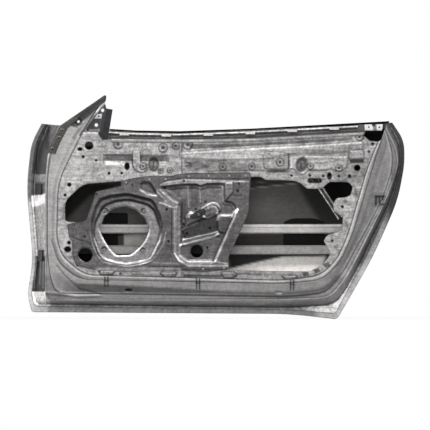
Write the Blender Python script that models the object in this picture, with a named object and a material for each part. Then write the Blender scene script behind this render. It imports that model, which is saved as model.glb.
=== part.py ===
"""Shell of the right front door of a frameless two-door car, seen from the cabin side.

Lengths are metres. X runs rearwards along the car, Y from the cabin outwards and Z up. The door is first
laid out from the front end of the outer skin, the field of the inner panel and the lowest point of the
skin. The empty named door then sets it so that the middle of the upper hinge face is the origin.
Places on the door are shares of its length, from the front, and of its height, from the bottom.
"""

import math

import bmesh
import bpy
import numpy as np
from mathutils import Matrix, Vector
from mathutils.bvhtree import BVHTree
from mathutils.geometry import delaunay_2d_cdt

# The whole door
LENGTH = 1.365
HEIGHT = 0.808
DEPTH = 0.150
GAP = 0.0003
OVERRUN = 0.010
ARC_STEPS = 3
TIP_STEPS = 3
NEARNESS = 1e-6

# The outer skin: how far it curves back from its crown, and the fold round its edge
SKIN_SHEET = 0.0012
SKIN_DROP = 0.032
SKIN_SWEEP = 0.018
CROWN_X_SHARE = 0.50
CROWN_Z_SHARE = 0.50
SKIN_MESH_PITCH = 0.125

# The pressed sheets
SHEET = 0.0015
BRACKET_SHEET = 0.0025
SEAL_STEP = 0.006
BELT_LIP_DEPTH = 0.020
BELT_LIP_RISE = 0.012
BELT_LIP_SETBACK = 0.003
FIELD_WALL = 0.004
BAND_RISE = 0.005
TROUGH_DEPTH = 0.006
POCKET_DEPTH = 0.007
BOSS_RADIUS = 0.0145
BOSS_RISE = 0.003
BOSS_HOLE = 0.0035
PANEL_HOLE = 0.004
LOCATING_HOLE = 0.013
DRAIN_HOLE = 0.003
DRAIN_PITCH = 0.110
ROUND_SIDES = 10

# The module carrier
SEAT_WALL = 0.009
SEAT_LEDGE = 0.006
SEAT_DEPTH = 0.007
SEAT_FLOOR_DEPTH = 0.014
BASIN_WALL = 0.008
BASIN_DEPTH = 0.014
POCKET_WALL = 0.006
CABLE_POCKET_DEPTH = 0.030
ISLAND_WALL = 0.005
ISLAND_DEPTH = 0.004
ACCESS_HOLE = 0.0245
TEARDROP_WALL = 0.004
TEARDROP_DEPTH = 0.006
CARRIER_HOLE = 0.0034

# Fasteners on the carrier
RIVET_RADIUS = 0.0045
RIVET_HEIGHT = 0.0025
NUT_RADIUS = 0.0075
NUT_BORE = 0.0034
NUT_HEIGHT = 0.005
BOLT_RADIUS = 0.0075
BOLT_HEIGHT = 0.007
HEAD_TOP_SHARE = 0.72
CLAMP_WIDTH = 0.020
CLAMP_THICKNESS = 0.005
CLAMP_STANDOFF = 0.0015

# Impact beams and their end brackets
BEAM_HEIGHT = 0.034
BEAM_DEPTH = 0.026
BEAM_WALL = 0.0025
BEAM_CORNER = 0.004
BEAM_SETBACK = 0.052
BEAM_FRONT_SHARE = 0.085
UPPER_BEAM_REAR_SHARE = 0.880
LOWER_BEAM_REAR_SHARE = 0.850
BRACKET_HEIGHT = 0.044
BRACKET_LAP = 0.050
BRACKET_FOOT = 0.034
BRACKET_SEAT = 0.0005

# Belt line
BELT_STEPS = 9
REINFORCEMENT_DROP = 0.002
REINFORCEMENT_STANDOFF = 0.024
REINFORCEMENT_FLANGE = 0.020
REINFORCEMENT_STEP = 0.009
REINFORCEMENT_WEB = 0.122
SEAL_HEIGHT = 0.0062
SEAL_WIDTH = 0.008
SEAL_BEVEL = 0.0018
CLIP_PITCH = 0.1513
CLIP_LENGTH = 0.034
CLIP_HEIGHT = 0.011
CLIP_THICKNESS = 0.003
CLIP_DROP = 0.004

# Hinge plates, latch plate and the bracket at the rear end of the belt
HINGE_LENGTH = 0.064
HINGE_HEIGHT = 0.040
HINGE_THICKNESS = 0.005
HINGE_BEVEL = 0.004
LATCH_WIDTH = 0.044
LATCH_HEIGHT = 0.035
LATCH_MARGIN = 0.010
PILLAR_STRIP_SEAT = 0.0004
MIRROR_BRACKET_FACE = 0.0024
MIRROR_HOLE = 0.0055
REAR_TAB_HOLE = 0.0042

# Glass guides
CHANNEL_WIDTH = 0.024
CHANNEL_DEPTH = 0.016
RAIL_WIDTH = 0.018
RAIL_DEPTH = 0.012

# Damping pads on the skin
PAD_THICKNESS = 0.003
PAD_SEAT = 0.0006
PAD_MESH_PITCH = 0.060


# Rows of the edge strips: x share, z share, round share, depth share. All run from the front
# top corner down the front, along the bottom and up to the rear top corner.
SKIN_EDGE_SHARES = (
    (0.040, 0.873, 0.0),
    (0.013, 0.786, 0.45),
    (0.000, 0.595, 0.45),
    (0.017, 0.265, 0.40),
    (0.003, 0.110, 0.40),
    (0.014, 0.032, 0.15),
    (0.696, 0.024, 0.45),
    (0.821, 0.000, 0.12),
    (0.860, 0.112, 0.45),
    (0.918, 0.285, 0.45),
    (0.982, 0.532, 0.45),
    (1.000, 0.697, 0.45),
    (0.998, 0.800, 0.45),
    (0.967, 0.878, 0.0),
)
HEM_EDGE_SHARES = (
    (0.050, 0.870, 0.0),
    (0.023, 0.780, 0.45),
    (0.011, 0.595, 0.45),
    (0.027, 0.265, 0.40),
    (0.014, 0.114, 0.40),
    (0.023, 0.059, 0.30),
    (0.696, 0.045, 0.45),
    (0.816, 0.028, 0.12),
    (0.845, 0.121, 0.45),
    (0.901, 0.289, 0.45),
    (0.967, 0.536, 0.45),
    (0.990, 0.697, 0.45),
    (0.988, 0.793, 0.45),
    (0.958, 0.877, 0.0),
)
WALL_FOOT_SHARES = (
    (0.058, 0.869, 0.0),
    (0.032, 0.773, 0.45),
    (0.018, 0.595, 0.45),
    (0.033, 0.274, 0.40),
    (0.020, 0.123, 0.40),
    (0.031, 0.070, 0.30),
    (0.691, 0.053, 0.45),
    (0.814, 0.068, 0.42),
    (0.854, 0.160, 0.45),
    (0.892, 0.295, 0.45),
    (0.963, 0.539, 0.45),
    (0.986, 0.697, 0.45),
    (0.984, 0.786, 0.45),
    (0.953, 0.876, 0.0),
)
WALL_TOP_SHARES = (
    (0.091, 0.865, 0.0, 0.08),
    (0.058, 0.755, 0.45, 0.08),
    (0.051, 0.630, 0.45, 0.08),
    (0.051, 0.301, 0.40, 0.08),
    (0.050, 0.150, 0.40, 0.09),
    (0.052, 0.086, 0.30, 0.10),
    (0.691, 0.084, 0.45, 0.12),
    (0.804, 0.096, 0.42, 0.14),
    (0.844, 0.181, 0.45, 0.26),
    (0.885, 0.310, 0.45, 0.36),
    (0.954, 0.547, 0.45, 0.44),
    (0.983, 0.697, 0.45, 0.44),
    (0.977, 0.768, 0.45, 0.44),
    (0.950, 0.859, 0.0, 0.44),
)
RIDGE_SHARES = (
    (0.107, 0.866, 0.0, 0.06),
    (0.071, 0.751, 0.45, 0.06),
    (0.059, 0.622, 0.45, 0.05),
    (0.059, 0.310, 0.40, 0.05),
    (0.066, 0.194, 0.40, 0.06),
    (0.082, 0.121, 0.42, 0.07),
    (0.691, 0.106, 0.45, 0.08),
    (0.789, 0.123, 0.42, 0.10),
    (0.831, 0.207, 0.45, 0.22),
    (0.869, 0.328, 0.45, 0.32),
    (0.935, 0.524, 0.45, 0.40),
    (0.963, 0.666, 0.45, 0.40),
    (0.964, 0.742, 0.45, 0.40),
    (0.946, 0.841, 0.0, 0.40),
)
SEAL_LINE_SHARES = (
    (0.128, 0.820, 0.0, 0.04),
    (0.107, 0.751, 0.45, 0.04),
    (0.072, 0.604, 0.45, 0.04),
    (0.068, 0.354, 0.40, 0.04),
    (0.082, 0.261, 0.40, 0.04),
    (0.140, 0.179, 0.42, 0.04),
    (0.683, 0.161, 0.45, 0.04),
    (0.781, 0.178, 0.42, 0.04),
    (0.828, 0.256, 0.45, 0.04),
    (0.860, 0.372, 0.45, 0.04),
    (0.891, 0.550, 0.45, 0.04),
    (0.912, 0.671, 0.45, 0.04),
    (0.927, 0.751, 0.45, 0.04),
    (0.938, 0.801, 0.0, 0.04),
)
FIELD_EDGE_SHARES = (
    (0.141, 0.807, 0.0, 0.0),
    (0.123, 0.746, 0.45, 0.0),
    (0.085, 0.613, 0.45, 0.0),
    (0.081, 0.363, 0.40, 0.0),
    (0.096, 0.283, 0.40, 0.0),
    (0.153, 0.199, 0.42, 0.0),
    (0.683, 0.175, 0.45, 0.0),
    (0.775, 0.197, 0.42, 0.0),
    (0.818, 0.264, 0.45, 0.0),
    (0.848, 0.372, 0.45, 0.0),
    (0.877, 0.541, 0.45, 0.0),
    (0.897, 0.657, 0.45, 0.0),
    (0.916, 0.742, 0.45, 0.0),
    (0.929, 0.793, 0.0, 0.0),
)
EDGE_STEPS = (1, 1, 2, 1, 1, 5, 1, 1, 1, 2, 1, 1, 1)

# The tip of the mirror corner, where the inner strips begin: wall top, ridge, seal line, field edge
TIP_SHARES = (
    (0.207, 1.000, 0.0, 0.08),
    (0.212, 0.997, 0.0, 0.06),
    (0.211, 0.980, 0.0, 0.04),
    (0.208, 0.964, 0.0, 0.0),
)

# The belt line of the skin and the top edge of the field, from the rear to the front
BELT_SHARES = (
    (0.967, 0.878),
    (0.789, 0.861),
    (0.591, 0.843),
    (0.406, 0.832),
    (0.291, 0.835),
    (0.220, 0.842),
    (0.094, 0.864),
    (0.040, 0.873),
)
FIELD_TOP_SHARES = (
    (0.906, 0.797),
    (0.890, 0.821),
    (0.789, 0.811),
    (0.591, 0.792),
    (0.406, 0.788),
    (0.227, 0.791),
    (0.190, 0.793),
)

# The opening of the inner panel, which the module carrier covers in the middle
OPENING_SHARES = (
    (0.103, 0.528, 0.15),
    (0.103, 0.436, 0.0),
    (0.134, 0.436, 0.0),
    (0.134, 0.274, 0.30),
    (0.190, 0.226, 0.30),
    (0.345, 0.226, 0.20),
    (0.369, 0.244, 0.20),
    (0.527, 0.244, 0.0),
    (0.538, 0.222, 0.30),
    (0.749, 0.215, 0.45),
    (0.803, 0.285, 0.35),
    (0.784, 0.350, 0.40),
    (0.796, 0.383, 0.35),
    (0.833, 0.396, 0.35),
    (0.836, 0.459, 0.25),
    (0.813, 0.480, 0.40),
    (0.811, 0.539, 0.45),
    (0.853, 0.549, 0.25),
    (0.862, 0.591, 0.30),
    (0.849, 0.612, 0.25),
    (0.801, 0.612, 0.30),
    (0.781, 0.583, 0.25),
    (0.740, 0.583, 0.35),
    (0.709, 0.619, 0.30),
    (0.632, 0.622, 0.10),
    (0.619, 0.636, 0.25),
    (0.593, 0.636, 0.0),
    (0.584, 0.624, 0.0),
    (0.422, 0.622, 0.0),
    (0.406, 0.614, 0.0),
    (0.290, 0.614, 0.0),
    (0.281, 0.599, 0.0),
    (0.251, 0.599, 0.0),
    (0.251, 0.617, 0.0),
    (0.150, 0.604, 0.15),
)

# Pressings of the field
BAND_SHARES = (
    (0.417, 0.751, 0.25),
    (0.417, 0.721, 0.25),
    (0.517, 0.714, 0.10),
    (0.622, 0.717, 0.35),
    (0.633, 0.669, 0.30),
    (0.693, 0.669, 0.25),
    (0.693, 0.744, 0.25),
    (0.622, 0.756, 0.10),
)
TROUGH_SHARES = (
    (0.205, 0.733, 0.30),
    (0.205, 0.695, 0.30),
    (0.377, 0.696, 0.30),
    (0.377, 0.735, 0.30),
)
FRONT_POCKET_SHARES = (
    (0.323, 0.680, 0.40),
    (0.323, 0.644, 0.40),
    (0.350, 0.646, 0.40),
    (0.350, 0.682, 0.40),
)
REAR_POCKET_SHARES = (
    (0.715, 0.712, 0.40),
    (0.711, 0.665, 0.40),
    (0.735, 0.659, 0.40),
    (0.740, 0.709, 0.40),
)

# Round features of the field: x share, z share
BOSS_SHARES = (
    (0.244, 0.766),
    (0.363, 0.759),
    (0.398, 0.757),
    (0.519, 0.679),
    (0.595, 0.680),
)
PANEL_HOLE_SHARES = (
    (0.150, 0.726),
    (0.185, 0.709),
    (0.219, 0.653),
    (0.252, 0.653),
    (0.115, 0.602),
    (0.104, 0.556),
    (0.113, 0.343),
    (0.110, 0.312),
    (0.142, 0.758),
    (0.356, 0.661),
    (0.700, 0.642),
    (0.825, 0.639),
    (0.853, 0.639),
    (0.834, 0.503),
    (0.807, 0.351),
)
LOCATING_HOLE_SHARES = (0.166, 0.764)
SLOT_SHARES = (
    (0.745, 0.629, 0.45),
    (0.745, 0.612, 0.45),
    (0.778, 0.612, 0.45),
    (0.778, 0.629, 0.45),
)

# The module carrier: its outline and its pressings
CARRIER_SHARES = (
    (0.251, 0.619, 0.10),
    (0.305, 0.638, 0.20),
    (0.385, 0.641, 0.20),
    (0.432, 0.654, 0.20),
    (0.589, 0.657, 0.15),
    (0.592, 0.617, 0.20),
    (0.587, 0.475, 0.30),
    (0.534, 0.279, 0.20),
    (0.536, 0.216, 0.20),
    (0.469, 0.209, 0.20),
    (0.410, 0.218, 0.20),
    (0.243, 0.215, 0.20),
    (0.133, 0.233, 0.25),
    (0.121, 0.279, 0.20),
    (0.121, 0.354, 0.20),
    (0.108, 0.424, 0.10),
    (0.108, 0.434, 0.0),
    (0.158, 0.436, 0.0),
    (0.182, 0.565, 0.20),
    (0.251, 0.592, 0.10),
)
SEAT_SHARES = (
    (0.229, 0.561, 0.45),
    (0.191, 0.530, 0.45),
    (0.169, 0.435, 0.45),
    (0.175, 0.332, 0.45),
    (0.198, 0.264, 0.45),
    (0.266, 0.232, 0.45),
    (0.328, 0.256, 0.45),
    (0.351, 0.319, 0.45),
    (0.365, 0.410, 0.45),
    (0.342, 0.535, 0.45),
    (0.282, 0.564, 0.45),
)
SPEAKER_SHARES = (
    (0.236, 0.502, 0.45),
    (0.200, 0.461, 0.45),
    (0.192, 0.394, 0.30),
    (0.216, 0.312, 0.40),
    (0.237, 0.282, 0.45),
    (0.278, 0.283, 0.45),
    (0.307, 0.325, 0.40),
    (0.327, 0.399, 0.30),
    (0.318, 0.457, 0.45),
    (0.281, 0.503, 0.45),
)
BASIN_SHARES = (
    (0.356, 0.597, 0.25),
    (0.354, 0.522, 0.25),
    (0.383, 0.500, 0.30),
    (0.391, 0.479, 0.30),
    (0.389, 0.283, 0.25),
    (0.417, 0.249, 0.25),
    (0.503, 0.259, 0.20),
    (0.561, 0.492, 0.30),
    (0.518, 0.528, 0.30),
    (0.518, 0.601, 0.20),
    (0.422, 0.610, 0.20),
)
CABLE_POCKET_SHARES = (
    (0.410, 0.410, 0.20),
    (0.416, 0.332, 0.20),
    (0.508, 0.379, 0.20),
    (0.508, 0.475, 0.20),
)
ISLAND_SHARES = (
    (0.459, 0.500, 0.45),
    (0.455, 0.467, 0.45),
    (0.503, 0.495, 0.45),
    (0.506, 0.529, 0.45),
)
SECOND_ISLAND_SHARES = (
    (0.410, 0.472, 0.45),
    (0.410, 0.426, 0.45),
    (0.450, 0.451, 0.45),
    (0.446, 0.495, 0.45),
)
TEARDROP_SHARES = (
    (0.302, 0.608, 0.45),
    (0.296, 0.571, 0.45),
    (0.345, 0.548, 0.45),
    (0.330, 0.609, 0.45),
)
ACCESS_HOLE_SHARES = (
    (0.156, 0.297),
    (0.451, 0.303),
)
CARRIER_HOLE_SHARES = (
    (0.264, 0.580),
    (0.187, 0.548),
    (0.366, 0.485),
    (0.374, 0.349),
    (0.537, 0.574),
    (0.560, 0.590),
    (0.559, 0.543),
    (0.145, 0.390),
)
BASIN_HOLE_SHARES = (
    (0.422, 0.497),
    (0.491, 0.328),
    (0.525, 0.435),
)
RIVET_SHARES = (
    (0.264, 0.610),
    (0.326, 0.624),
    (0.368, 0.625),
    (0.429, 0.638),
    (0.482, 0.640),
    (0.536, 0.641),
    (0.579, 0.641),
    (0.467, 0.226),
    (0.522, 0.230),
)
NUT_SHARES = (
    (0.207, 0.485),
    (0.312, 0.484),
    (0.205, 0.308),
    (0.310, 0.305),
)
BOLT_SHARES = (
    (0.481, 0.498),
    (0.429, 0.459),
)
LATCH_HOLE_SHARES = (0.932, 0.530)

# Sheets beside the field
MIRROR_BRACKET_SHARES = (
    (0.209, 0.962, 0.0),
    (0.140, 0.806, 0.10),
    (0.144, 0.772, 0.20),
    (0.194, 0.772, 0.20),
    (0.200, 0.822, 0.10),
    (0.213, 0.933, 0.20),
)
MIRROR_HOLE_SHARES = (
    (0.198, 0.922),
    (0.183, 0.866),
    (0.164, 0.839),
)
GUIDE_CHANNEL_SHARES = (
    (0.207, 0.801),
    (0.220, 0.938),
)
GUIDE_RAIL_SHARES = (
    (0.758, 0.635),
    (0.829, 0.450),
)
BELT_PLATE_SHARES = (
    (0.698, 0.730, 0.30),
    (0.698, 0.670, 0.30),
    (0.744, 0.663, 0.20),
    (0.803, 0.670, 0.30),
    (0.828, 0.655, 0.45),
    (0.848, 0.679, 0.40),
    (0.851, 0.728, 0.30),
)
BELT_PLATE_HOLE_SHARES = (
    (0.750, 0.695),
    (0.825, 0.687),
)
REAR_BRACKET_SHARES = (
    (0.878, 0.869, 0.20),
    (0.878, 0.825, 0.20),
    (0.897, 0.825, 0.20),
    (0.898, 0.842, 0.20),
    (0.943, 0.842, 0.20),
    (0.945, 0.871, 0.20),
    (0.925, 0.870, 0.10),
    (0.924, 0.860, 0.10),
    (0.917, 0.860, 0.10),
    (0.916, 0.870, 0.10),
)
REAR_BRACKET_HOLE_SHARES = (
    (0.905, 0.858),
    (0.933, 0.857),
)
FRONT_PAD_SHARES = (
    (0.179, 0.475, 0.10),
    (0.179, 0.323, 0.10),
    (0.242, 0.323, 0.10),
    (0.242, 0.386, 0.10),
    (0.268, 0.386, 0.10),
    (0.268, 0.475, 0.10),
)
REAR_PAD_SHARES = (
    (0.679, 0.435, 0.20),
    (0.679, 0.326, 0.05),
    (0.789, 0.326, 0.05),
    (0.789, 0.435, 0.20),
    (0.762, 0.451, 0.30),
    (0.704, 0.451, 0.30),
)

# Heights and places along the door that single pieces follow
UPPER_HINGE_SHARES = (0.035, 0.581)
LOWER_HINGE_SHARES = (0.041, 0.285)
UPPER_BEAM_SHARE = 0.404
LOWER_BEAM_SHARE = 0.309
FIRST_CLIP_SHARE = 0.259
FIRST_DRAIN_SHARE = 0.157
LAST_DRAIN_SHARE = 0.735
BELT_FRONT_SHARE = 0.227
BELT_REAR_SHARE = 0.891
DRAIN_SHARE = 0.076
CORNER_HOLE_SHARES = (0.139, 0.881)
PILLAR_EDGE_SHARES = (0.12, 0.88)
END_SHARE = 0.002


def spot(shares):
    """The point (x, z) at shares of the door's length and height."""
    return np.array((shares[0] * LENGTH, shares[1] * HEIGHT))


def skin_depth(x, z):
    """Depth of the skin's cabin side: highest at the crown, falling with the square of the distance."""
    across = (x / LENGTH - CROWN_X_SHARE) / CROWN_X_SHARE
    up = (z / HEIGHT - CROWN_Z_SHARE) / CROWN_Z_SHARE
    return DEPTH - SKIN_SWEEP * across**2 - SKIN_DROP * up**2


def outline(rows, closed=True, steps=None):
    """Points (x, z, depth) along rows of corner shares.

    Each corner becomes a circular arc, written as a rational curve whose ends lie the corner's round
    share of its shorter side away from it. Steps gives the parts that each straight run is cut into.
    """
    corners = []
    for row in rows:
        depth = row[3] * DEPTH if len(row) > 3 else 0.0
        corners.append(np.array((*spot(row), depth)))
    pieces = []
    for i, corner in enumerate(corners):
        if rows[i][2] == 0:
            pieces.append([corner])
            continue
        before = corners[i - 1] - corner
        after = corners[(i + 1) % len(corners)] - corner
        long_before = math.hypot(before[0], before[1])
        long_after = math.hypot(after[0], after[1])
        reach = rows[i][2] * min(long_before, long_after)
        start = corner + before * reach / long_before
        end = corner + after * reach / long_after
        cosine = (before[:2] @ after[:2]) / (long_before * long_after)
        weight = math.sqrt((1 - cosine) / 2)
        arc = []
        for s in np.linspace(0, 1, ARC_STEPS + 1):
            a, b, c = (1 - s) ** 2, 2 * weight * s * (1 - s), s**2
            arc.append((a * start + b * corner + c * end) / (a + b + c))
        pieces.append(arc)
    points = []
    for i, piece in enumerate(pieces):
        points.extend(piece)
        if i == len(pieces) - 1 and not closed:
            break
        following = pieces[(i + 1) % len(pieces)][0]
        for k in range(1, steps[i] if steps else 1):
            points.append(piece[-1] + (following - piece[-1]) * k / steps[i])
    return np.array(points)


def circle(shares, radius, sides=ROUND_SIDES):
    """A round outline about the point at the given shares."""
    centre = spot(shares)
    angles = np.arange(sides) * math.tau / sides
    return np.stack(
        (
            centre[0] + radius * np.cos(angles),
            centre[1] + radius * np.sin(angles),
            np.zeros(sides),
        ),
        axis=1,
    )


def inset(loop, distance):
    """The closed loop moved inwards, each point along the mean of its two sides' normals."""
    flat = loop[:, :2]
    following = np.roll(flat, -1, axis=0)
    area = np.sum(flat[:, 0] * following[:, 1] - following[:, 0] * flat[:, 1])
    side = following - flat
    side /= np.linalg.norm(side, axis=1)[:, None]
    normal = np.stack((-side[:, 1], side[:, 0]), axis=1) * math.copysign(1, area)
    mean = normal + np.roll(normal, 1, axis=0)
    mean /= np.linalg.norm(mean, axis=1)[:, None]
    stretch = 1 / np.maximum(0.5, np.sum(mean * normal, axis=1))
    moved = loop.copy()
    moved[:, :2] += mean * stretch[:, None] * distance
    return moved


def toward(first, second, distance):
    """The points of the first run moved that distance toward those of the second."""
    step = second - first
    length = np.linalg.norm(step[:, :2], axis=1)[:, None]
    return first + step * distance / length


def on_skin(run, lift=0.0):
    """The run laid on the cabin side of the skin, lifted towards the cabin."""
    laid = run.copy()
    laid[:, 2] = skin_depth(run[:, 0], run[:, 1]) - lift
    return laid


def encloses(loop, x, z):
    """Whether the closed loop goes round the point, by counting the sides crossed by a level ray."""
    found = False
    for i in range(len(loop)):
        (x1, z1), (x2, z2) = loop[i - 1][:2], loop[i][:2]
        if (z1 > z) != (z2 > z) and x < x1 + (z - z1) * (x2 - x1) / (z2 - z1):
            found = not found
    return found


class Sheet:
    """An open surface of points and triangles, which is then thickened into a pressed sheet."""

    def __init__(self):
        self.points = []
        self.faces = []

    def loop(self, run, depth=None):
        """Adds the run's points, at its own depths or at one depth, and gives their indices."""
        first = len(self.points)
        for x, z, own in run:
            self.points.append((x, own if depth is None else depth, z))
        return list(range(first, len(self.points)))

    def strip(self, first, second, closed=False):
        """Two triangles for each step along two runs of as many points."""
        for i in range(len(first) if closed else len(first) - 1):
            j = (i + 1) % len(first)
            self.faces.append((first[i], first[j], second[j]))
            self.faces.append((first[i], second[j], second[i]))

    def fill(self, border, holes=(), inside=()):
        """Triangles over the region within the border and outside every hole."""
        loops = [list(border)] + [list(hole) for hole in holes]
        index, edges = [], []
        for loop in loops:
            start = len(index)
            index.extend(loop)
            edges.extend((start + i, start + (i + 1) % len(loop)) for i in range(len(loop)))
        index.extend(inside)
        flat = [Vector((self.points[i][0], self.points[i][2])) for i in index]
        outlines, start = [], 0
        for loop in loops:
            outlines.append(flat[start : start + len(loop)])
            start += len(loop)
        made = delaunay_2d_cdt(flat, edges, [], 0, NEARNESS)
        for face in made[2]:
            corners = [index[made[3][v][0]] for v in face]
            x = sum(made[0][v][0] for v in face) / len(face)
            z = sum(made[0][v][1] for v in face) / len(face)
            if encloses(outlines[0], x, z) and not any(encloses(o, x, z) for o in outlines[1:]):
                self.faces.append(tuple(corners))

    def press(self, rim, start, end, wall):
        """A pressed wall from the rim, at one depth, to a floor loop that lies inwards at another."""
        upper = self.loop(rim, start)
        lower = self.loop(inset(rim, wall), end)
        self.strip(upper, lower, closed=True)
        return upper, lower

    def tree(self):
        """The surface for finding seats on it with rays."""
        return BVHTree.FromPolygons([Vector(point) for point in self.points], self.faces)


def finish(name, colour, roughness, metallic):
    """A material of one colour."""
    material = bpy.data.materials.new(name)
    material.use_nodes = True
    shader = material.node_tree.nodes["Principled BSDF"]
    shader.inputs["Base Color"].default_value = (*colour, 1.0)
    shader.inputs["Roughness"].default_value = roughness
    shader.inputs["Metallic"].default_value = metallic
    material.diffuse_color = (*colour, 1.0)
    return material


def add_object(name, mesh, material):
    """One named piece of the door."""
    piece = bpy.data.objects.new(name, mesh)
    bpy.context.scene.collection.objects.link(piece)
    mesh.materials.append(material)
    mesh.shade_smooth()
    mesh.set_sharp_from_angle(angle=math.radians(30))
    piece.parent = door
    return piece


def thicken(name, sheet, thickness, material, growth=1):
    """The sheet as a solid that grows outwards from the cabin (growth 1) or towards it (growth -1)."""
    mesh = bpy.data.meshes.new(name)
    mesh.from_pydata(sheet.points, [], sheet.faces)
    work = bmesh.new()
    work.from_mesh(mesh)
    bmesh.ops.delete(work, geom=[v for v in work.verts if not v.link_faces], context="VERTS")
    bmesh.ops.recalc_face_normals(work, faces=work.faces)
    if sum(face.normal.y * face.calc_area() for face in work.faces) * growth > 0:
        bmesh.ops.reverse_faces(work, faces=work.faces)
    work.to_mesh(mesh)
    work.free()
    piece = add_object(name, mesh, material)
    solidify = piece.modifiers.new("Sheet", "SOLIDIFY")
    solidify.thickness = thickness
    solidify.offset = -1
    solidify.use_even_offset = True
    solidify.use_quality_normals = True
    return piece


def loft(name, sections, material, ring=False):
    """A closed solid through sections of as many points: capped at both ends, or joined into a ring."""
    count = len(sections[0])
    work = bmesh.new()
    rows = [[work.verts.new(point) for point in section] for section in sections]
    for i in range(len(rows) if ring else len(rows) - 1):
        first, second = rows[i], rows[(i + 1) % len(rows)]
        for k in range(count):
            j = (k + 1) % count
            work.faces.new((first[k], first[j], second[j], second[k]))
    if not ring:
        work.faces.new(rows[0])
        work.faces.new(rows[-1][::-1])
    bmesh.ops.recalc_face_normals(work, faces=work.faces)
    mesh = bpy.data.meshes.new(name)
    work.to_mesh(mesh)
    work.free()
    return add_object(name, mesh, material)


def round_section(x, y, z, radius, sides=ROUND_SIDES):
    """A circle of points about an axis along Y."""
    angles = np.arange(sides) * math.tau / sides
    return [(x + radius * math.cos(a), y, z + radius * math.sin(a)) for a in angles]


def depth_at(tree, shares):
    """Depth of the first surface met from the cabin at the point."""
    x, z = spot(shares)
    return tree.ray_cast(Vector((x, -DEPTH, z)), Vector((0, 1, 0)))[0].y


def seat_frame(tree, shares, half_length, half_height, wall=0.0):
    """A frame whose origin lies on the wall at the point, clear of it over a flat plate's corners.

    Its first axis runs along the wall, its second up and its third away from the material. A wall
    thickness puts it on the far side of the sheet.
    """
    x, z = spot(shares)
    hit, normal = tree.ray_cast(Vector((x, -DEPTH, z)), Vector((0, 1, 0)))[:2]
    if normal.y > 0:
        normal = -normal
    if wall:
        hit, normal = hit - normal * wall, -normal
    along = Vector((0, 0, 1)).cross(normal).normalized()
    up = normal.cross(along)
    rise = 0.0
    for u in (-half_length, 0, half_length):
        for v in (-half_height, 0, half_height):
            start = hit + along * u + up * v + normal * OVERRUN
            found = tree.ray_cast(start, -normal)
            if found[0] is not None:
                rise = max(rise, OVERRUN - found[3] + wall)
    frame = Matrix((along, up, normal)).transposed().to_4x4()
    frame.translation = hit + normal * (rise + GAP)
    return frame


def chamfered(half_width, half_height, corner):
    """The eight corners of a rectangle about the origin with its corners cut off."""
    inner_width, inner_height = half_width - corner, half_height - corner
    return (
        (half_width, inner_height),
        (inner_width, half_height),
        (-inner_width, half_height),
        (-half_width, inner_height),
        (-half_width, -inner_height),
        (-inner_width, -half_height),
        (inner_width, -half_height),
        (half_width, -inner_height),
    )


def plate_sections(frame, half_length, half_height, low, high, corner):
    """Two chamfered rectangles in the frame, at a low and a high level over its seat."""
    rim = chamfered(half_length, half_height, corner)
    return [[frame @ Vector((a, b, level)) for a, b in rim] for level in (low, high)]


def cutter(name, sections):
    """A hidden solid that other pieces are cut with."""
    piece = loft(name, sections, bare_metal)
    piece.hide_render = True
    piece.display_type = "WIRE"
    return piece


def cut(piece, tools):
    """Takes every tool away from the piece."""
    for tool in tools:
        boolean = piece.modifiers.new(tool.name, "BOOLEAN")
        boolean.object = tool
        boolean.operation = "DIFFERENCE"
        boolean.solver = "EXACT"


def drill(name, tree, shares, radius):
    """A cutter through the sheet at the point, square to its surface."""
    frame = seat_frame(tree, shares, 0.0, 0.0)
    angles = np.arange(ROUND_SIDES) * math.tau / ROUND_SIDES
    rim = [(radius * math.cos(a), radius * math.sin(a)) for a in angles]
    return cutter(name, [[frame @ Vector((a, b, level)) for a, b in rim] for level in (-OVERRUN, OVERRUN)])


def edge_runs():
    """The runs of points along the door's edge, from the skin's edge inwards, with their depths."""
    runs = {"skin": outline(SKIN_EDGE_SHARES, False, EDGE_STEPS)}
    runs["hem"] = outline(HEM_EDGE_SHARES, False, EDGE_STEPS)
    runs["foot"] = outline(WALL_FOOT_SHARES, False, EDGE_STEPS)
    inner = (WALL_TOP_SHARES, RIDGE_SHARES, SEAL_LINE_SHARES, FIELD_EDGE_SHARES)
    for name, rows, tip in zip(("top", "ridge", "seal", "field"), inner, TIP_SHARES):
        runs[name] = outline((tip, *rows), False, (TIP_STEPS, *EDGE_STEPS))
    runs["fold"] = toward(runs["skin"], runs["hem"], SKIN_SHEET)
    return runs


def make_skin(runs):
    """The outer skin: one curved sheet whose edge folds over the flange of the inner panel."""
    sheet = Sheet()
    fold_height = SHEET + 2 * GAP
    lip = sheet.loop(on_skin(runs["hem"], fold_height))
    turn = sheet.loop(on_skin(runs["fold"], fold_height))
    edge = sheet.loop(on_skin(runs["fold"]))
    hem = sheet.loop(on_skin(runs["hem"]))
    foot = sheet.loop(on_skin(runs["foot"]))
    for first, second in ((lip, turn), (turn, edge), (edge, hem), (hem, foot)):
        sheet.strip(first, second)
    belt = np.array([(*spot(row), 0.0) for row in BELT_SHARES[1:-1]])
    top = sheet.loop(on_skin(belt))
    border = foot + top
    rim = [sheet.points[i] for i in border]
    rim = np.array([(x, z, y) for x, y, z in rim])
    inner_rim = inset(rim, SKIN_MESH_PITCH / 3)
    inside = []
    for x in np.arange(SKIN_MESH_PITCH / 2, LENGTH, SKIN_MESH_PITCH):
        for z in np.arange(SKIN_MESH_PITCH / 2, HEIGHT, SKIN_MESH_PITCH):
            if encloses(inner_rim, x, z):
                inside.append((x, z, skin_depth(x, z)))
    sheet.fill(border, inside=sheet.loop(inside))
    return sheet


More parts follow.
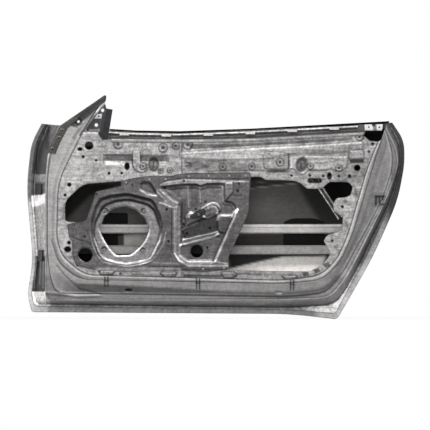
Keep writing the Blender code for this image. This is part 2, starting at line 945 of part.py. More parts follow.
def make_inner_panel(runs):
    """The inner panel: a deep pressing from the hem flange over the shut faces to the flat field."""
    sheet = Sheet()
    laid = on_skin(toward(runs["fold"], runs["hem"], GAP), GAP + SHEET)
    ends = on_skin(runs["fold"]), on_skin(runs["hem"])
    share = GAP / np.linalg.norm((ends[1] - ends[0])[:, :2], axis=1)
    laid[:, 2] = ends[0][:, 2] + (ends[1] - ends[0])[:, 2] * share - GAP - SHEET
    flange = sheet.loop(laid)
    hem = sheet.loop(on_skin(runs["hem"], GAP + SHEET))
    foot = sheet.loop(on_skin(runs["foot"], GAP + SHEET))
    top = sheet.loop(runs["top"])
    ridge = sheet.loop(runs["ridge"])
    seal = sheet.loop(runs["seal"])
    field = sheet.loop(runs["field"])
    sheet.strip(flange, hem)
    sheet.strip(hem, foot)
    sheet.strip(foot, top[TIP_STEPS:])
    for first, second in ((top, ridge), (ridge, seal), (seal, field)):
        sheet.strip(first, second)
    upper = sheet.loop(np.array([(*spot(row), 0.0) for row in FIELD_TOP_SHARES]))
    lip_run = upper[1:-1]
    low = np.array([(sheet.points[i][0], sheet.points[i][2], 0.0) for i in lip_run])
    middle = sheet.loop(low + (0, BELT_LIP_RISE, BELT_LIP_SETBACK))
    far = sheet.loop(low + (0, BELT_LIP_RISE + BELT_LIP_SETBACK, BELT_LIP_DEPTH))
    sheet.strip(lip_run, middle)
    sheet.strip(middle, far)

    holes = [sheet.loop(outline(OPENING_SHARES), 0.0), sheet.loop(outline(SLOT_SHARES), 0.0)]
    for rows, depth in (
        (BAND_SHARES, -BAND_RISE),
        (TROUGH_SHARES, TROUGH_DEPTH),
        (FRONT_POCKET_SHARES, POCKET_DEPTH),
        (REAR_POCKET_SHARES, POCKET_DEPTH),
    ):
        rim, floor = sheet.press(outline(rows), 0.0, depth, FIELD_WALL)
        holes.append(rim)
        sheet.fill(floor)
    for shares in BOSS_SHARES:
        rim, floor = sheet.press(circle(shares, BOSS_RADIUS), 0.0, -BOSS_RISE, FIELD_WALL)
        holes.append(rim)
        sheet.fill(floor, [sheet.loop(circle(shares, BOSS_HOLE, ROUND_SIDES), -BOSS_RISE)])
    holes.append(sheet.loop(circle(LOCATING_HOLE_SHARES, LOCATING_HOLE), 0.0))
    for shares in PANEL_HOLE_SHARES:
        holes.append(sheet.loop(circle(shares, PANEL_HOLE, ROUND_SIDES - 2), 0.0))
    sheet.fill(field[TIP_STEPS:] + upper, holes)
    return sheet


def make_carrier():
    """The module carrier: a plate on the field with a deep speaker seat and a basin for the regulator."""
    sheet = Sheet()
    face = -GAP - SHEET
    border = sheet.loop(outline(CARRIER_SHARES), face)
    holes = []

    seat = outline(SEAT_SHARES)
    rim, ledge = sheet.press(seat, face, face + SEAT_DEPTH, SEAT_LEDGE)
    inner = inset(inset(seat, SEAT_LEDGE), SEAT_LEDGE)
    second = sheet.loop(inner, face + SEAT_DEPTH)
    sheet.strip(ledge, second, closed=True)
    floor = sheet.loop(inset(inner, SEAT_WALL - SEAT_LEDGE), face + SEAT_FLOOR_DEPTH)
    sheet.strip(second, floor, closed=True)
    speaker = sheet.loop(outline(SPEAKER_SHARES), face + SEAT_FLOOR_DEPTH)
    sheet.fill(floor, [speaker])
    holes.append(rim)

    level = face + BASIN_DEPTH
    rim, floor = sheet.press(outline(BASIN_SHARES), face, level, BASIN_WALL)
    holes.append(rim)
    steps = []
    for rows, depth, wall in (
        (CABLE_POCKET_SHARES, face + CABLE_POCKET_DEPTH, POCKET_WALL),
        (ISLAND_SHARES, face + ISLAND_DEPTH, ISLAND_WALL),
        (SECOND_ISLAND_SHARES, face + ISLAND_DEPTH, ISLAND_WALL),
    ):
        step_rim, step_floor = sheet.press(outline(rows), level, depth, wall)
        sheet.fill(step_floor)
        steps.append(step_rim)
    for shares in BASIN_HOLE_SHARES:
        steps.append(sheet.loop(circle(shares, CARRIER_HOLE, ROUND_SIDES - 2), level))
    front_access, rear_access = ACCESS_HOLE_SHARES
    steps.append(sheet.loop(circle(rear_access, ACCESS_HOLE, 2 * ROUND_SIDES), level))
    sheet.fill(floor, steps)

    rim, floor = sheet.press(outline(TEARDROP_SHARES), face, face + TEARDROP_DEPTH, TEARDROP_WALL)
    sheet.fill(floor)
    holes.append(rim)
    holes.append(sheet.loop(circle(front_access, ACCESS_HOLE, 2 * ROUND_SIDES), face))
    for shares in CARRIER_HOLE_SHARES:
        holes.append(sheet.loop(circle(shares, CARRIER_HOLE, ROUND_SIDES - 2), face))
    sheet.fill(border, holes)
    return sheet


def flat_sheet(rows, depth, hole_shares=(), radius=0.0):
    """A flat plate with round holes, square to Y."""
    sheet = Sheet()
    border = sheet.loop(outline(rows), depth)
    sheet.fill(border, [sheet.loop(circle(shares, radius), depth) for shares in hole_shares])
    return sheet


def make_rear_bracket(tree):
    """The tabbed plate at the rear end of the belt, flat against the web of the reinforcement.

    The web stands nearest the cabin below the belt's own edge, so the plate's top row isn't tried.
    """
    (x_share, high), (_, low) = REAR_BRACKET_SHARES[0][:2], REAR_BRACKET_SHARES[1][:2]
    face = min(
        depth_at(tree, (x, z))
        for x in np.linspace(x_share, BELT_REAR_SHARE - END_SHARE, 3)
        for z in np.linspace(low, high - END_SHARE, 12)[:-1]
    )
    return flat_sheet(REAR_BRACKET_SHARES, face - GAP - SHEET, REAR_BRACKET_HOLE_SHARES, REAR_TAB_HOLE)


def draped_sheet(rows, tree, gap, pitch):
    """A plate that follows the surface behind it."""
    sheet = Sheet()
    run = outline(rows, steps=[2] * len(rows))
    low, high = run.min(axis=0), run.max(axis=0)
    for x in np.arange(low[0] + pitch / 2, high[0], pitch):
        for z in np.arange(low[1] + pitch / 2, high[1], pitch):
            if encloses(inset(run, pitch / 4), x, z):
                run = np.vstack((run, (x, z, 0.0)))
    border = len(outline(rows, steps=[2] * len(rows)))
    for point in run:
        point[2] = depth_at(tree, (point[0] / LENGTH, point[1] / HEIGHT)) - gap
    index = sheet.loop(run)
    sheet.fill(index[:border], inside=index[border:])
    return sheet


def pillar_strip(runs):
    """A strip laid along the slope between the wall top and the ridge at the front top corner."""
    sheet = Sheet()
    start, stop = TIP_STEPS - 1, TIP_STEPS + ARC_STEPS
    rows = []
    for share in PILLAR_EDGE_SHARES:
        run = runs["top"] + (runs["ridge"] - runs["top"]) * share
        rows.append([Vector((x, y, z)) for x, z, y in run[start:stop]])
    for row in rows:
        sheet.points.extend(tuple(point) for point in row)
    count = len(rows[0])
    sheet.strip(list(range(count)), list(range(count, 2 * count)))
    normals = [Vector() for _ in sheet.points]
    for face in sheet.faces:
        a, b, c = (Vector(sheet.points[i]) for i in face)
        normal = (b - a).cross(c - a)
        if normal.y > 0:
            normal = -normal
        for i in face:
            normals[i] += normal
    lifted = []
    for point, normal in zip(sheet.points, normals):
        lifted.append(tuple(Vector(point) + normal.normalized() * PILLAR_STRIP_SEAT))
    sheet.points = lifted
    return sheet


def make_beam(name, share, rear_share):
    """A hollow drawn beam with rounded edges, open at both ends."""
    z = share * HEIGHT
    ends = (BEAM_FRONT_SHARE * LENGTH, rear_share * LENGTH)
    sections = []
    for shrink, x in ((0, ends[0]), (0, ends[1]), (BEAM_WALL, ends[1]), (BEAM_WALL, ends[0])):
        rim = chamfered(BEAM_DEPTH / 2 - shrink, BEAM_HEIGHT / 2 - shrink, BEAM_CORNER - shrink)
        sections.append([(x, DEPTH - BEAM_SETBACK + BEAM_DEPTH / 2 + a, z + b) for a, b in rim])
    return loft(name, sections, bare_metal, ring=True)


def make_beam_bracket(name, share, end_share, direction, tree):
    """A bent strap from the cabin face of a beam to the wall of the inner panel beside its end.

    The direction is -1 at the front end and 1 at the rear end.
    """
    z = share * HEIGHT
    beam_end = end_share * LENGTH
    face = DEPTH - BEAM_SETBACK - GAP
    sheet = Sheet()
    rows = []
    for height in (z - BRACKET_HEIGHT / 2, z + BRACKET_HEIGHT / 2):
        row = [(beam_end - direction * BRACKET_LAP, height, face)]
        for y in (face, face - BRACKET_FOOT):
            hit, normal = tree.ray_cast(Vector((beam_end, y, height)), Vector((direction, 0, 0)))[:2]
            back = (SHEET + BRACKET_SEAT) / abs(normal.x)
            row.append((hit.x - direction * back, height, y))
        rows.append(sheet.loop(row))
    sheet.strip(rows[0], rows[1])
    return thicken(name, sheet, BRACKET_SHEET, bare_metal, growth=-1)


def make_reinforcement(tree):
    """The outer belt reinforcement: a hat section that follows the belt line inside the skin."""
    sheet = Sheet()
    flange = GAP + SHEET
    profile = (
        (REINFORCEMENT_DROP, flange),
        (REINFORCEMENT_FLANGE, flange),
        (REINFORCEMENT_FLANGE + REINFORCEMENT_STEP, REINFORCEMENT_STANDOFF),
        (REINFORCEMENT_FLANGE + REINFORCEMENT_STEP + REINFORCEMENT_WEB, REINFORCEMENT_STANDOFF),
        (REINFORCEMENT_FLANGE + 2 * REINFORCEMENT_STEP + REINFORCEMENT_WEB, flange),
        (2 * REINFORCEMENT_FLANGE + 2 * REINFORCEMENT_STEP + REINFORCEMENT_WEB, flange),
    )
    columns = []
    for share in np.linspace(BELT_FRONT_SHARE, BELT_REAR_SHARE, BELT_STEPS):
        x = share * LENGTH
        line = belt_height(x)
        column = []
        for drop, lift in profile:
            column.append((x, line - drop, depth_at(tree, (share, (line - drop) / HEIGHT)) - lift))
        columns.append(sheet.loop(column))
    for first, second in zip(columns, columns[1:]):
        sheet.strip(first, second)
    return sheet


def belt_height(x):
    """Height of the skin's belt line at a distance from the front."""
    line = sorted(tuple(spot(row)) for row in BELT_SHARES)
    return float(np.interp(x, [p[0] for p in line], [p[1] for p in line]))


def make_belt_seal(runs):
    """The dark seal that stands on the belt edge of the skin."""
    half, c = SEAL_WIDTH / 2, SEAL_BEVEL
    rim = (
        (-half, 0), (half, 0), (half, SEAL_HEIGHT - c), (half - c, SEAL_HEIGHT),
        (c - half, SEAL_HEIGHT), (-half, SEAL_HEIGHT - c),
    )
    path = [runs[name][-1][:2] for name in ("hem", "foot")]
    path += [spot(row) for row in BELT_SHARES[1:-2]]
    sections = []
    for x, z in path:
        base = skin_depth(x, z) + SKIN_SHEET / 2
        sections.append([(x, base + across, z + GAP + up) for across, up in rim])
    return loft("belt_seal", sections, rubber)


def make_clips(tree):
    """The clips on the upper flange of the belt reinforcement, at an even pitch."""
    first, last = FIRST_CLIP_SHARE * LENGTH, BELT_REAR_SHARE * LENGTH - CLIP_LENGTH / 2
    for number, x in enumerate(np.arange(first, last, CLIP_PITCH)):
        low = belt_height(x) - CLIP_DROP - CLIP_HEIGHT
        face = min(
            depth_at(tree, ((x + side * CLIP_LENGTH / 2) / LENGTH, (low + up) / HEIGHT))
            for side in (-1, 0, 1)
            for up in (0, CLIP_HEIGHT)
        )
        far, near = face - GAP, face - GAP - CLIP_THICKNESS
        hook = CLIP_THICKNESS / 2
        rim = (
            (far, low), (near + hook, low), (near, low + hook),
            (near, low + CLIP_HEIGHT - hook), (near + hook, low + CLIP_HEIGHT), (far, low + CLIP_HEIGHT),
        )
        ends = (x - CLIP_LENGTH / 2, x + CLIP_LENGTH / 2)
        loft(f"belt_clip_{number + 1}", [[(end, y, z) for y, z in rim] for end in ends], zinc)


def make_guide(name, shares, section_sizes, face, material):
    """A channel section between two points, open along one side."""
    width, depth, wall = section_sizes
    low, high = spot(shares[0]), spot(shares[1])
    along = (high - low) / np.linalg.norm(high - low)
    across = np.array((along[1], -along[0]))
    half = width / 2
    rim = (
        (half, 0), (half, wall), (wall - half, wall), (wall - half, depth - wall),
        (half, depth - wall), (half, depth), (-half, depth), (-half, 0),
    )
    sections = []
    for end in (low, high):
        section = []
        for u, y in rim:
            x, z = end + across * u
            section.append((x, face + y, z))
        sections.append(section)
    return loft(name, sections, material)


def make_stud(name, shares, radius, height, base, material):
    """A low round head that stands towards the cabin from its base."""
    x, z = spot(shares)
    sections = [
        round_section(x, base - GAP, z, radius),
        round_section(x, base - GAP - height / 2, z, radius),
        round_section(x, base - GAP - height, z, radius * HEAD_TOP_SHARE),
    ]
    return loft(name, sections, material)


def make_nut(name, shares, base):
    """A round clip nut with a bore, on the speaker seat."""
    x, z = spot(shares)
    near, far = base - GAP - NUT_HEIGHT, base - GAP
    sections = [
        round_section(x, near, z, NUT_RADIUS * HEAD_TOP_SHARE),
        round_section(x, far, z, NUT_RADIUS),
        round_section(x, far, z, NUT_BORE),
        round_section(x, near, z, NUT_BORE),
    ]
    return loft(name, sections, dark_steel, ring=True)


def make_clamp(base):
    """The dark link between the two regulator bolts, with round ends."""
    first, second = (spot(shares) for shares in BOLT_SHARES)
    along = (second - first) / np.linalg.norm(second - first)
    across = np.array((-along[1], along[0]))
    reach = np.linalg.norm(second - first) / 2 - BOLT_RADIUS - CLAMP_WIDTH / 2 - GAP
    middle = (first + second) / 2
    rim = []
    for side in (1, -1):
        for angle in np.linspace(-math.pi / 2, math.pi / 2, 5):
            shift = side * (reach + CLAMP_WIDTH / 2 * math.cos(angle))
            rim.append(middle + along * shift + across * side * CLAMP_WIDTH / 2 * math.sin(angle))
    levels = (base - GAP, base - GAP - CLAMP_THICKNESS)
    return loft("regulator_clamp", [[(x, y, z) for x, z in rim] for y in levels], dark_steel)


for old in list(bpy.data.objects):
    bpy.data.objects.remove(old, do_unlink=True)

bare_metal = finish("bare_metal", (0.42, 0.41, 0.405), 0.45, 0.7)
carrier_metal = finish("carrier_metal", (0.17, 0.165, 0.165), 0.5, 0.6)
dark_steel = finish("dark_steel", (0.045, 0.043, 0.043), 0.5, 0.5)
coated_steel = finish("coated_steel", (0.10, 0.095, 0.08), 0.6, 0.3)
zinc = finish("zinc", (0.72, 0.72, 0.71), 0.4, 0.7)
rubber = finish("rubber", (0.02, 0.02, 0.021), 0.7, 0.0)
damping = finish("damping", (0.012, 0.012, 0.013), 0.8, 0.0)

door = bpy.data.objects.new("door", None)
bpy.context.scene.collection.objects.link(door)

edge = edge_runs()
skin = make_skin(edge)
skin_tree = skin.tree()
panel = make_inner_panel(edge)
panel_tree = panel.tree()
carrier = make_carrier()

thicken("outer_skin", skin, SKIN_SHEET, bare_metal)
inner_panel = thicken("inner_panel", panel, SHEET, bare_metal)
thicken("carrier_plate", carrier, SHEET, carrier_metal)

latch = seat_frame(panel_tree, LATCH_HOLE_SHARES, 0.0, 0.0)
half = (LATCH_WIDTH / 2, LATCH_HEIGHT / 2)
tools = [cutter("latch_cut", plate_sections(latch, *half, -OVERRUN, OVERRUN, HINGE_BEVEL))]
drain_shares = np.arange(FIRST_DRAIN_SHARE, LAST_DRAIN_SHARE, DRAIN_PITCH / LENGTH)
for number, x_share in enumerate(drain_shares):
    tools.append(drill(f"drain_cut_{number + 1}", panel_tree, (x_share, DRAIN_SHARE), DRAIN_HOLE))
tools.append(drill("corner_cut", panel_tree, CORNER_HOLE_SHARES, PANEL_HOLE))
cut(inner_panel, tools)

outer_half = (half[0] + LATCH_MARGIN, half[1] + LATCH_MARGIN)
plate = seat_frame(panel_tree, LATCH_HOLE_SHARES, *outer_half, SHEET)
wide = plate_sections(plate, *outer_half, 0.0, BRACKET_SHEET, HINGE_BEVEL)
slim = plate_sections(plate, *half, 0.0, BRACKET_SHEET, HINGE_BEVEL)
loft("latch_plate", [wide[0], wide[1], slim[1], slim[0]], bare_metal, ring=True)

hinge_half = (HINGE_LENGTH / 2, HINGE_HEIGHT / 2)
hinge_frames = {}
for name, shares in (("upper", UPPER_HINGE_SHARES), ("lower", LOWER_HINGE_SHARES)):
    frame = seat_frame(panel_tree, shares, *hinge_half)
    hinge_frames[name] = frame
    sections = plate_sections(frame, *hinge_half, 0.0, HINGE_THICKNESS, HINGE_BEVEL)
    loft(f"{name}_hinge_plate", sections, dark_steel)
door.location = -(hinge_frames["upper"] @ Vector((0, 0, HINGE_THICKNESS)))

for name, share, rear_share in (
    ("upper", UPPER_BEAM_SHARE, UPPER_BEAM_REAR_SHARE),
    ("lower", LOWER_BEAM_SHARE, LOWER_BEAM_REAR_SHARE),
):
    make_beam(f"{name}_impact_beam", share, rear_share)
    make_beam_bracket(f"{name}_beam_front_bracket", share, BEAM_FRONT_SHARE, -1, panel_tree)
    make_beam_bracket(f"{name}_beam_rear_bracket", share, rear_share, 1, panel_tree)

reinforcement = make_reinforcement(skin_tree)
reinforcement_tree = reinforcement.tree()
thicken("outer_belt_reinforcement", reinforcement, SHEET, bare_metal)
make_belt_seal(edge)
make_clips(reinforcement_tree)

thicken("rear_belt_bracket", make_rear_bracket(reinforcement_tree), SHEET, zinc)
mirror_sheet = flat_sheet(MIRROR_BRACKET_SHARES, MIRROR_BRACKET_FACE, MIRROR_HOLE_SHARES, MIRROR_HOLE)
thicken("mirror_bracket", mirror_sheet, BRACKET_SHEET, dark_steel)
belt_sheet = flat_sheet(BELT_PLATE_SHARES, -GAP - SHEET, BELT_PLATE_HOLE_SHARES, BOSS_HOLE)
thicken("belt_plate", belt_sheet, SHEET, bare_metal)
thicken("a_pillar_strip", pillar_strip(edge), SHEET, coated_steel, growth=-1)
make_guide(
    "front_glass_channel",
    GUIDE_CHANNEL_SHARES,
    (CHANNEL_WIDTH, CHANNEL_DEPTH, BRACKET_SHEET),
    MIRROR_BRACKET_FACE + BRACKET_SHEET + GAP,
    dark_steel,
)
make_guide("rear_glass_rail", GUIDE_RAIL_SHARES, (RAIL_WIDTH, RAIL_DEPTH, SHEET), SHEET + GAP, zinc)

for name, rows in (("front_damping_pad", FRONT_PAD_SHARES), ("rear_damping_pad", REAR_PAD_SHARES)):
    pad = draped_sheet(rows, skin_tree, PAD_SEAT, PAD_MESH_PITCH)
    thicken(name, pad, PAD_THICKNESS, damping, growth=-1)

carrier_face = -GAP - SHEET
for number, shares in enumerate(RIVET_SHARES, 1):
    make_stud(f"carrier_rivet_{number}", shares, RIVET_RADIUS, RIVET_HEIGHT, carrier_face, zinc)
for number, shares in enumerate(NUT_SHARES, 1):
    make_nut(f"speaker_nut_{number}", shares, carrier_face + SEAT_FLOOR_DEPTH)
for number, shares in enumerate(BOLT_SHARES, 1):
    make_stud(f"regulator_bolt_{number}", shares, BOLT_RADIUS, BOLT_HEIGHT, carrier_face + ISLAND_DEPTH, zinc)
make_clamp(carrier_face + ISLAND_DEPTH)
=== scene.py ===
# %% [markdown]
# # The bare shell of a car's front door, seen from the cabin
# A door shell is a sandwich of pressed sheets: an outer skin, a deep inner panel whose edge the
# skin is folded over, and a thinner module carrier that closes the panel's big opening. The frame
# holds the exact solids of every piece. This script keeps the plain ones, gives them finishes, and
# lays finely pressed sheets over ten of them, because beads, bosses, grime and the light and shade
# painted along them are what the eye reads on such a door.

# %% Load the imported frame
import math

import bpy
import numpy as np
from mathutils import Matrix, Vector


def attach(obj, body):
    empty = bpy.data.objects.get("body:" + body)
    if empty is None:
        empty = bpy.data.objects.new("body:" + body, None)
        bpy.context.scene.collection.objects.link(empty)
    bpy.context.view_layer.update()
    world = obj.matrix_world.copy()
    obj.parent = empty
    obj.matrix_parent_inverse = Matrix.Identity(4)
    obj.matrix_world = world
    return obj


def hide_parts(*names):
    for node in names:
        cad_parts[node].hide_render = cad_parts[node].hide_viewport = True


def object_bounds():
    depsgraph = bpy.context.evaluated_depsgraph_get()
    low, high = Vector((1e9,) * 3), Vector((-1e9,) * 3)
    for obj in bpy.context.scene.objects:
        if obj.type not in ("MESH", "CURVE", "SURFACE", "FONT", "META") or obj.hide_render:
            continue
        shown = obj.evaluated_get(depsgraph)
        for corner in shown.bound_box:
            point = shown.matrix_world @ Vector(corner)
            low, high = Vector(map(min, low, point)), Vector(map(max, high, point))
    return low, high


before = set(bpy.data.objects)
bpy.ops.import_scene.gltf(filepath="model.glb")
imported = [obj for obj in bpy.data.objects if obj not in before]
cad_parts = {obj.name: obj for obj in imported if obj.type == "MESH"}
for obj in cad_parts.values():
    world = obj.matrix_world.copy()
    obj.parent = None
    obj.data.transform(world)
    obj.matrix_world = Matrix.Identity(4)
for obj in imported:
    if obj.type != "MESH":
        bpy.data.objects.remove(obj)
cad_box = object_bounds()
print("CAD box:", [[round(float(v), 4) for v in corner] for corner in cad_box])

# %% [markdown]
# ## Plan coordinates
# The door is looked at square on, so every outline is easiest to write as columns and rows of that
# view. One step of a column or row is 3.6 mm on the door. Depth is in metres from the flat field of
# the inner panel, and grows away from the cabin.

# %% From plan coordinates to metres
COLUMN_PITCH, ROW_PITCH = 0.00359968, 0.00359751
FRONT_COLUMN, FOOT_ROW = 26.0, 319.6
FRONT_X, FIELD_Y, FOOT_Z = -0.04277392, -0.07282504, -0.46952662
CROWN_COLUMN, CROWN_ROW, CROWN_DEPTH = 215.6, 207.3, 0.150
HALF_LENGTH, HALF_HEIGHT = 189.6, 112.3
SWEEP, DROP = 0.018, 0.032


def metres(c, r, depth):
    """Column, row and depth as x, y and z in the door's frame."""
    x = (c - FRONT_COLUMN) * COLUMN_PITCH + FRONT_X
    z = (FOOT_ROW - r) * ROW_PITCH + FOOT_Z
    return np.stack((x, depth + FIELD_Y, z), axis=-1)


def skin_depth(c, r):
    """The skin's depth: crown less sweep * across**2 less drop * up**2, both as shares of its half."""
    across, up = (c - CROWN_COLUMN) / HALF_LENGTH, (r - CROWN_ROW) / HALF_HEIGHT
    return CROWN_DEPTH - SWEEP * across**2 - DROP * up**2


corner_gap = np.abs(metres(FRONT_COLUMN, FOOT_ROW, 0.0) - np.array(cad_box[0]))[[0, 2]]
print("Plan corner to CAD corner, mm:", np.round(corner_gap * 1000, 2))

# %% [markdown]
# ## Outlines and distances
# A pressed form is an outline with round corners and a wall that slopes down to its floor. With the
# signed distance to an outline, wall, floor and crease all become a smooth step of one number, so a
# hundred forms can be laid over one another without building any of them.

# %% Outlines, distances and steps


def rounded(corners, share, steps=5):
    """A closed loop whose corners are parabolas that leave each side a share of its length away."""
    corners = np.asarray(corners, float)
    before, after = np.roll(corners, 1, 0) - corners, np.roll(corners, -1, 0) - corners
    long_before, long_after = np.linalg.norm(before, axis=1), np.linalg.norm(after, axis=1)
    reach = share * np.minimum(long_before, long_after)
    start = corners + before * (reach / long_before)[:, None]
    end = corners + after * (reach / long_after)[:, None]
    s = np.linspace(0, 1, steps)[:, None, None]
    curves = (1 - s) ** 2 * start + 2 * s * (1 - s) * corners + s**2 * end
    return curves.transpose(1, 0, 2).reshape(-1, 2)


def to_line(points, c, r):
    """Distance to an open line: the least distance to any of its sides."""
    points = np.asarray(points, float)
    best = np.full(c.shape, np.inf)
    for a, b in zip(points, points[1:]):
        side = b - a
        if not side.any():
            continue
        t = np.clip(((c - a[0]) * side[0] + (r - a[1]) * side[1]) / (side @ side), 0, 1)
        best = np.minimum(best, np.hypot(c - a[0] - t * side[0], r - a[1] - t * side[1]))
    return best


def to_loop(loop, c, r):
    """Signed distance to a closed loop, negative inside: a point is inside where a level ray crosses
    the loop an odd number of times. Points far outside its box just get a large number."""
    loop = np.asarray(loop, float)
    low, high = loop.min(axis=0) - 6, loop.max(axis=0) + 6
    near = (c > low[0]) & (c < high[0]) & (r > low[1]) & (r < high[1])
    found = np.full(c.shape, 9.0)
    nc, nr = c[near], r[near]
    inside = np.zeros(nc.shape, bool)
    for a, b in zip(loop, np.roll(loop, -1, 0)):
        if a[1] != b[1]:
            crossing = a[0] + (nr - a[1]) * (b[0] - a[0]) / (b[1] - a[1])
            inside ^= ((a[1] > nr) != (b[1] > nr)) & (nc < crossing)
    gap = to_line(np.vstack((loop, loop[:1])), nc, nr)
    found[near] = np.where(inside, -gap, gap)
    return found


def to_round(spot, c, r):
    """Signed distance to a round or oval form, given as column, row, half width and half height."""
    c0, r0, a, b = spot if len(spot) == 4 else (*spot, spot[2])
    return (np.hypot((c - c0) / a, (r - r0) / b) - 1) * min(a, b)


def step(t):
    """A smooth step from 0 to 1 while t goes from 0 to 1."""
    t = np.clip(t, 0, 1)
    return t * t * (3 - 2 * t)


def bell(gap, width):
    """A bell curve of a distance: exp(-(gap / width)**2)."""
    return np.exp(-((gap / width) ** 2))


# The door's box ends 5 mm before the field, and no form comes nearer the cabin.
NEAREST = -0.0050


class Pressing:
    """Depth and brightness over plan points, to which one pressed form after another is added."""

    def __init__(self, c, r, depth=0.0):
        self.c, self.r = c, r
        self.depth = np.zeros(c.shape) + depth
        self.tone = np.ones(c.shape)

    def press(self, gap, change, wall, foot_shade):
        """Moves the inside by the change, over a wall, with painted shade at its foot and a faint painted
        highlight at its crest.
        """
        self.depth += change * step(0.5 - gap / wall)
        foot = gap + math.copysign(wall / 2, change)
        self.streak(foot, 1 - foot_shade)
        crest = gap - math.copysign(wall / 2, change)
        self.streak(crest, 1 + 0.25 * foot_shade)

    def ridge(self, gap, height, width):
        """A bead along a line: a bell curve of the distance, towards the cabin when high."""
        self.depth -= height * bell(gap, width)

    def shade(self, gap, factor, blur):
        """Multiplies the brightness inside a form, over a blurred edge."""
        self.tone *= 1 + (factor - 1) * step(0.5 - gap / blur)

    def bridge(self, gap, depth, wall):
        """Covers what lies below with a flat form of its own depth, a painted shadow outside its edge and a
        painted highlight inside.
        """
        share = step(0.5 - gap / wall)
        self.depth = self.depth * (1 - share) + depth * share
        self.tone = self.tone * (1 - share) + share
        self.streak(gap - 0.3, 0.35, 0.7)
        self.streak(gap + 1.2, 1.25, 0.7)

    def streak(self, gap, factor, width=0.7):
        """Multiplies the brightness along a line by a bell curve of the distance."""
        self.tone *= 1 + (factor - 1) * bell(gap, width)

    def shades(self, table):
        """Shades the inside of each outline in a table of outline, factor and blur."""
        for outline, factor, blur in table:
            self.shade(to_loop(outline, self.c, self.r), factor, blur)

    def streaks(self, table):
        """Streaks each path in a table of path, factor and width."""
        for path, factor, width in table:
            self.streak(to_line(path, self.c, self.r), factor, width)

    def made(self):
        """Depth and brightness, the depth never nearer the cabin than the door's own box."""
        return np.maximum(self.depth, NEAREST), self.tone

    def boss(self, c0, r0, radius):
        """A round boss: a low rim about a dished centre, its bore painted dark as shade, in a painted shadow
        ring.
        """
        height, bore = 0.0014, 0.34
        gap = np.hypot(self.c - c0, self.r - r0) - radius
        self.press(gap, -height, 1.2, 0.3)
        self.press(gap + radius * 0.45, height * 0.9, 1.1, 0.3)
        self.streak(gap - 0.4, 0.40, 0.7)
        self.shade(gap, 0.80, 1.0)
        self.shade(gap + radius * (1 - bore), 0.14, 0.7)


print("Outline helpers ready")

# %% [markdown]
# ## From a grid to a closed sheet
# A pressed sheet is one surface over a grid of points. Points just outside the sheet's outline are
# pulled onto it along the distance's gradient, so holes come out round on a square grid. The back is
# the same surface moved along its normals by the sheet's thickness, and a rim joins both, which
# makes a closed body with real edges.

# %% The sheet maker
PANEL_SHEET, SKIN_SHEET, HEM_SHEET = 0.0015, 0.0012, 0.0010
SHARP_ANGLE = math.radians(58)
BACK_TONE = 0.8


def put(name, data):
    """A new object of this data, linked to the scene."""
    made = bpy.data.objects.new(name, data)
    bpy.context.scene.collection.objects.link(made)
    return made


def mesh_object(name, points, triangles, tone, finish):
    """A smooth mesh from arrays of points and triangles, with its brightness as an attribute."""
    mesh = bpy.data.meshes.new(name)
    mesh.vertices.add(len(points))
    mesh.vertices.foreach_set("co", np.asarray(points, np.float32).ravel())
    mesh.loops.add(triangles.size)
    mesh.loops.foreach_set("vertex_index", triangles.ravel().astype(np.int32))
    mesh.polygons.add(len(triangles))
    mesh.polygons.foreach_set("loop_start", np.arange(len(triangles), dtype=np.int32) * 3)
    mesh.update(calc_edges=True)
    mesh.polygons.foreach_set("use_smooth", np.ones(len(triangles), bool))
    mesh.attributes.new("tone", "FLOAT", "POINT").data.foreach_set("value", tone.astype(np.float32))
    mesh.materials.append(finish)
    mesh.set_sharp_from_angle(angle=SHARP_ANGLE)
    return put(name, mesh)


def cell_corners(shape):
    """The four corners of each cell of a grid of points, in turn round the cell."""
    index = np.arange(shape[0] * shape[1]).reshape(shape)
    corners = index[:-1, :-1], index[:-1, 1:], index[1:, 1:], index[1:, :-1]
    return [corner.ravel() for corner in corners]


def normals_of(points, triangles):
    """Each point's normal: the sum of its triangles' cross products, made one long."""
    a, b, c = (points[triangles[:, k]] for k in range(3))
    cross = np.cross(b - a, c - a)
    total = np.zeros(points.shape)
    for k in range(3):
        for axis in range(3):
            total[:, axis] += np.bincount(triangles[:, k], cross[:, axis], len(points))
    return total / np.maximum(np.linalg.norm(total, axis=1), 1e-12)[:, None]


